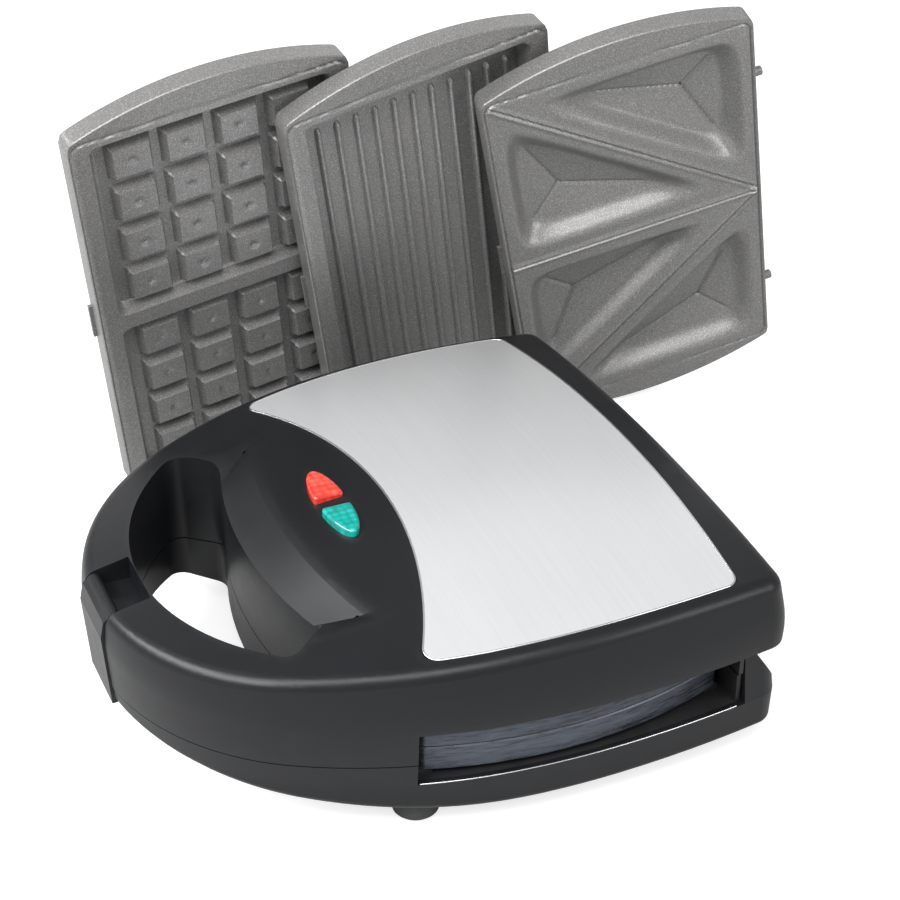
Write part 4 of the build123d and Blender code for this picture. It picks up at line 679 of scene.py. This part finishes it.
def top_outline(name):
    """The outline of a node's upper face, in order, in metres."""
    source = NODES[name]
    turn = source.matrix_world.to_3x3()
    at = [source.matrix_world @ v.co for v in source.data.vertices]
    key = [tuple(round(c, 6) for c in p) for p in at]
    seen = {}
    for face in source.data.polygons:
        if (turn @ face.normal).z < FACES_UP:
            continue
        ring = [key[v] for v in face.vertices]
        for a, b in zip(ring, ring[1:] + ring[:1]):
            if (b, a) in seen:
                del seen[(b, a)]
            else:
                seen[(a, b)] = True
    follow = dict(seen.keys())
    start = here = next(iter(follow))
    line = [start]
    while follow[here] != start:
        here = follow[here]
        line.append(here)
    return line


def bead(name, line, radius, material, body, closed):
    """A fine rounded line of metal along an edge: the panel's folded edge, or a painted highlight on the
    base rim.
    """
    data = bpy.data.curves.new(name, "CURVE")
    data.dimensions = "3D"
    data.bevel_depth = radius
    data.bevel_resolution = 3
    spline = data.splines.new("POLY")
    spline.points.add(len(line) - 1)
    for point, place in zip(spline.points, line):
        point.co = (*place, 1.0)
    spline.use_cyclic_u = closed
    data.materials.append(material)
    piece = bpy.data.objects.new(name, data)
    bpy.context.scene.collection.objects.link(piece)
    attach(piece, body)


PANEL_BEAD_R, PANEL_BEAD_SUNK = 0.00045, 0.4
PANEL_LINE = [(x, y, z - PANEL_BEAD_R * PANEL_BEAD_SUNK) for x, y, z in top_outline("top_panel")]
bead("panel_bead", PANEL_LINE, PANEL_BEAD_R, EDGE_STEEL_AND_RIM_HIGHLIGHT, "lid", True)

# the base rim in plan, millimetres: two arcs forward of its widest station, a parabola behind it
RIM = {"half_x": 122.0, "widest_y": 48.0, "flank_r": 345.23, "cheek_r": 216.04, "turn": 8.0,
       "rear_in": 5.8, "rear_run": 78.5, "inset": 2.9, "z": 26.15}
RIM_STATIONS = range(-34, 106, 4)
# radius of the bright metal line that paints the base rim's highlight
RIM_HIGHLIGHT_LINE_R = 0.0003


def rim_x(y):
    """Half the width of the base rim's inner edge at one station, in millimetres."""
    widest, flank_r, cheek_r = RIM["widest_y"], RIM["flank_r"], RIM["cheek_r"]
    turn, flank_x = math.radians(RIM["turn"]), RIM["half_x"] - RIM["flank_r"]
    if y > widest:
        return RIM["half_x"] - RIM["rear_in"] * ((y - widest) / RIM["rear_run"]) ** 2 - RIM["inset"]
    if y > widest - flank_r * math.sin(turn):
        return flank_x + math.sqrt(flank_r ** 2 - (y - widest) ** 2) - RIM["inset"]
    mid_x = flank_x + (flank_r - cheek_r) * math.cos(turn)
    mid_y = widest - (flank_r - cheek_r) * math.sin(turn)
    return mid_x + math.sqrt(cheek_r ** 2 - (y - mid_y) ** 2) - RIM["inset"]


# painted highlight: a bright metal line along the base rim's inner edge, where the black rim only
# catches light
for side, label in ((-1, "left"), (1, "right")):
    rim_line = [(side * rim_x(y) * MM, y * MM, RIM["z"] * MM) for y in RIM_STATIONS]
    bead("rim_highlight_line_" + label, rim_line, RIM_HIGHLIGHT_LINE_R, EDGE_STEEL_AND_RIM_HIGHLIGHT, "base", False)


# ---------------------------------------------------------------- stage, lights, camera
def area(name, towards, distance, size, size_y, power):
    """A softbox that stands in one direction from the machine and looks at it."""
    data = bpy.data.lights.new(name, "AREA")
    data.shape = "RECTANGLE"
    data.size = size
    data.size_y = size_y
    data.energy = power
    lamp = bpy.data.objects.new(name, data)
    bpy.context.scene.collection.objects.link(lamp)
    at = BODY_MID + Vector(towards).normalized() * distance
    lamp.location = at
    lamp.rotation_euler = (BODY_MID - at).to_track_quat("-Z", "Y").to_euler()


def floor():
    """A wide white floor that keeps the machine's shadow."""
    mesh = bpy.data.meshes.new("studio floor")
    half = FLOOR_HALF
    mesh.from_pydata([(-half, -half, 0), (half, -half, 0), (half, half, 0), (-half, half, 0)], [],
                     [(0, 1, 2, 3)])
    obj = bpy.data.objects.new("studio floor", mesh)
    bpy.context.scene.collection.objects.link(obj)
    mat = bpy.data.materials.new("white floor")
    mat.use_nodes = True
    tree = mat.node_tree
    principled = tree.nodes["Principled BSDF"]
    principled.inputs["Base Color"].default_value = (0.5, 0.5, 0.5, 1)
    principled.inputs["Roughness"].default_value = 0.9
    principled.inputs["Specular IOR Level"].default_value = 0.1
    principled.inputs["Emission Color"].default_value = (1, 1, 1, 1)
    rays = tree.nodes.new("ShaderNodeLightPath")
    glow = math_node(tree, "MULTIPLY", rays.outputs["Is Camera Ray"], FLOOR_GLOW)
    mirrored = math_node(tree, "MULTIPLY", rays.outputs["Is Glossy Ray"], FLOOR_MIRRORED)
    tree.links.new(math_node(tree, "ADD", glow, mirrored), principled.inputs["Emission Strength"])
    mesh.materials.append(mat)


def studio_world():
    """White where the camera and polished surfaces see it, softer where it lights the machine."""
    world = bpy.context.scene.world or bpy.data.worlds.new("studio")
    bpy.context.scene.world = world
    world.use_nodes = True
    sky = world.node_tree
    background = sky.nodes["Background"]
    background.inputs["Color"].default_value = (1, 1, 1, 1)
    rays = sky.nodes.new("ShaderNodeLightPath")
    seen = math_node(sky, "ADD", rays.outputs["Is Camera Ray"],
                     rays.outputs["Is Transmission Ray"], True)
    strength = math_node(sky, "ADD", math_node(sky, "MULTIPLY", seen, 1.0 - WORLD_LIGHT),
                         WORLD_LIGHT)
    mirrored = math_node(sky, "MULTIPLY", rays.outputs["Is Glossy Ray"],
                         WORLD_MIRRORED - WORLD_LIGHT)
    strength = math_node(sky, "ADD", strength, mirrored)
    sky.links.new(strength, background.inputs["Strength"])


FLOOR_HALF = 6.0
# strengths, where 1 is white: what the camera, polished surfaces and plain light meet
FLOOR_GLOW = 0.72
FLOOR_MIRRORED = 0.1
WORLD_LIGHT = 0.45
WORLD_MIRRORED = 0.5
floor()
studio_world()
area("overhead strip", (0.5, -0.3, 0.85), 1.3, 1.2, 0.5, 12)
area("front softbox", (-0.05, -0.9, 0.75), 1.4, 1.7, 0.42, 30)
area("side softbox", (1.0, 0.75, 0.55), 1.5, 0.6, 0.6, 5)
area("panel card", (-0.78, 0.30, 0.35), 1.5, 1.6, 1.0, 3)

camera_data = bpy.data.cameras.new("camera")
camera_data.lens = CAMERA_LENS
camera_data.sensor_width = CAMERA_SENSOR
camera = bpy.data.objects.new("camera", camera_data)
bpy.context.scene.collection.objects.link(camera)
camera.location = CAMERA_AT
look = (CAMERA_TO - CAMERA_AT).to_track_quat("-Z", "Y").to_matrix().to_4x4()
camera.matrix_world = Matrix.Translation(CAMERA_AT) @ look @ Matrix.Rotation(
    math.radians(CAMERA_ROLL), 4, "Z")
bpy.context.scene.camera = camera
bpy.context.scene.view_settings.view_transform = "Standard"
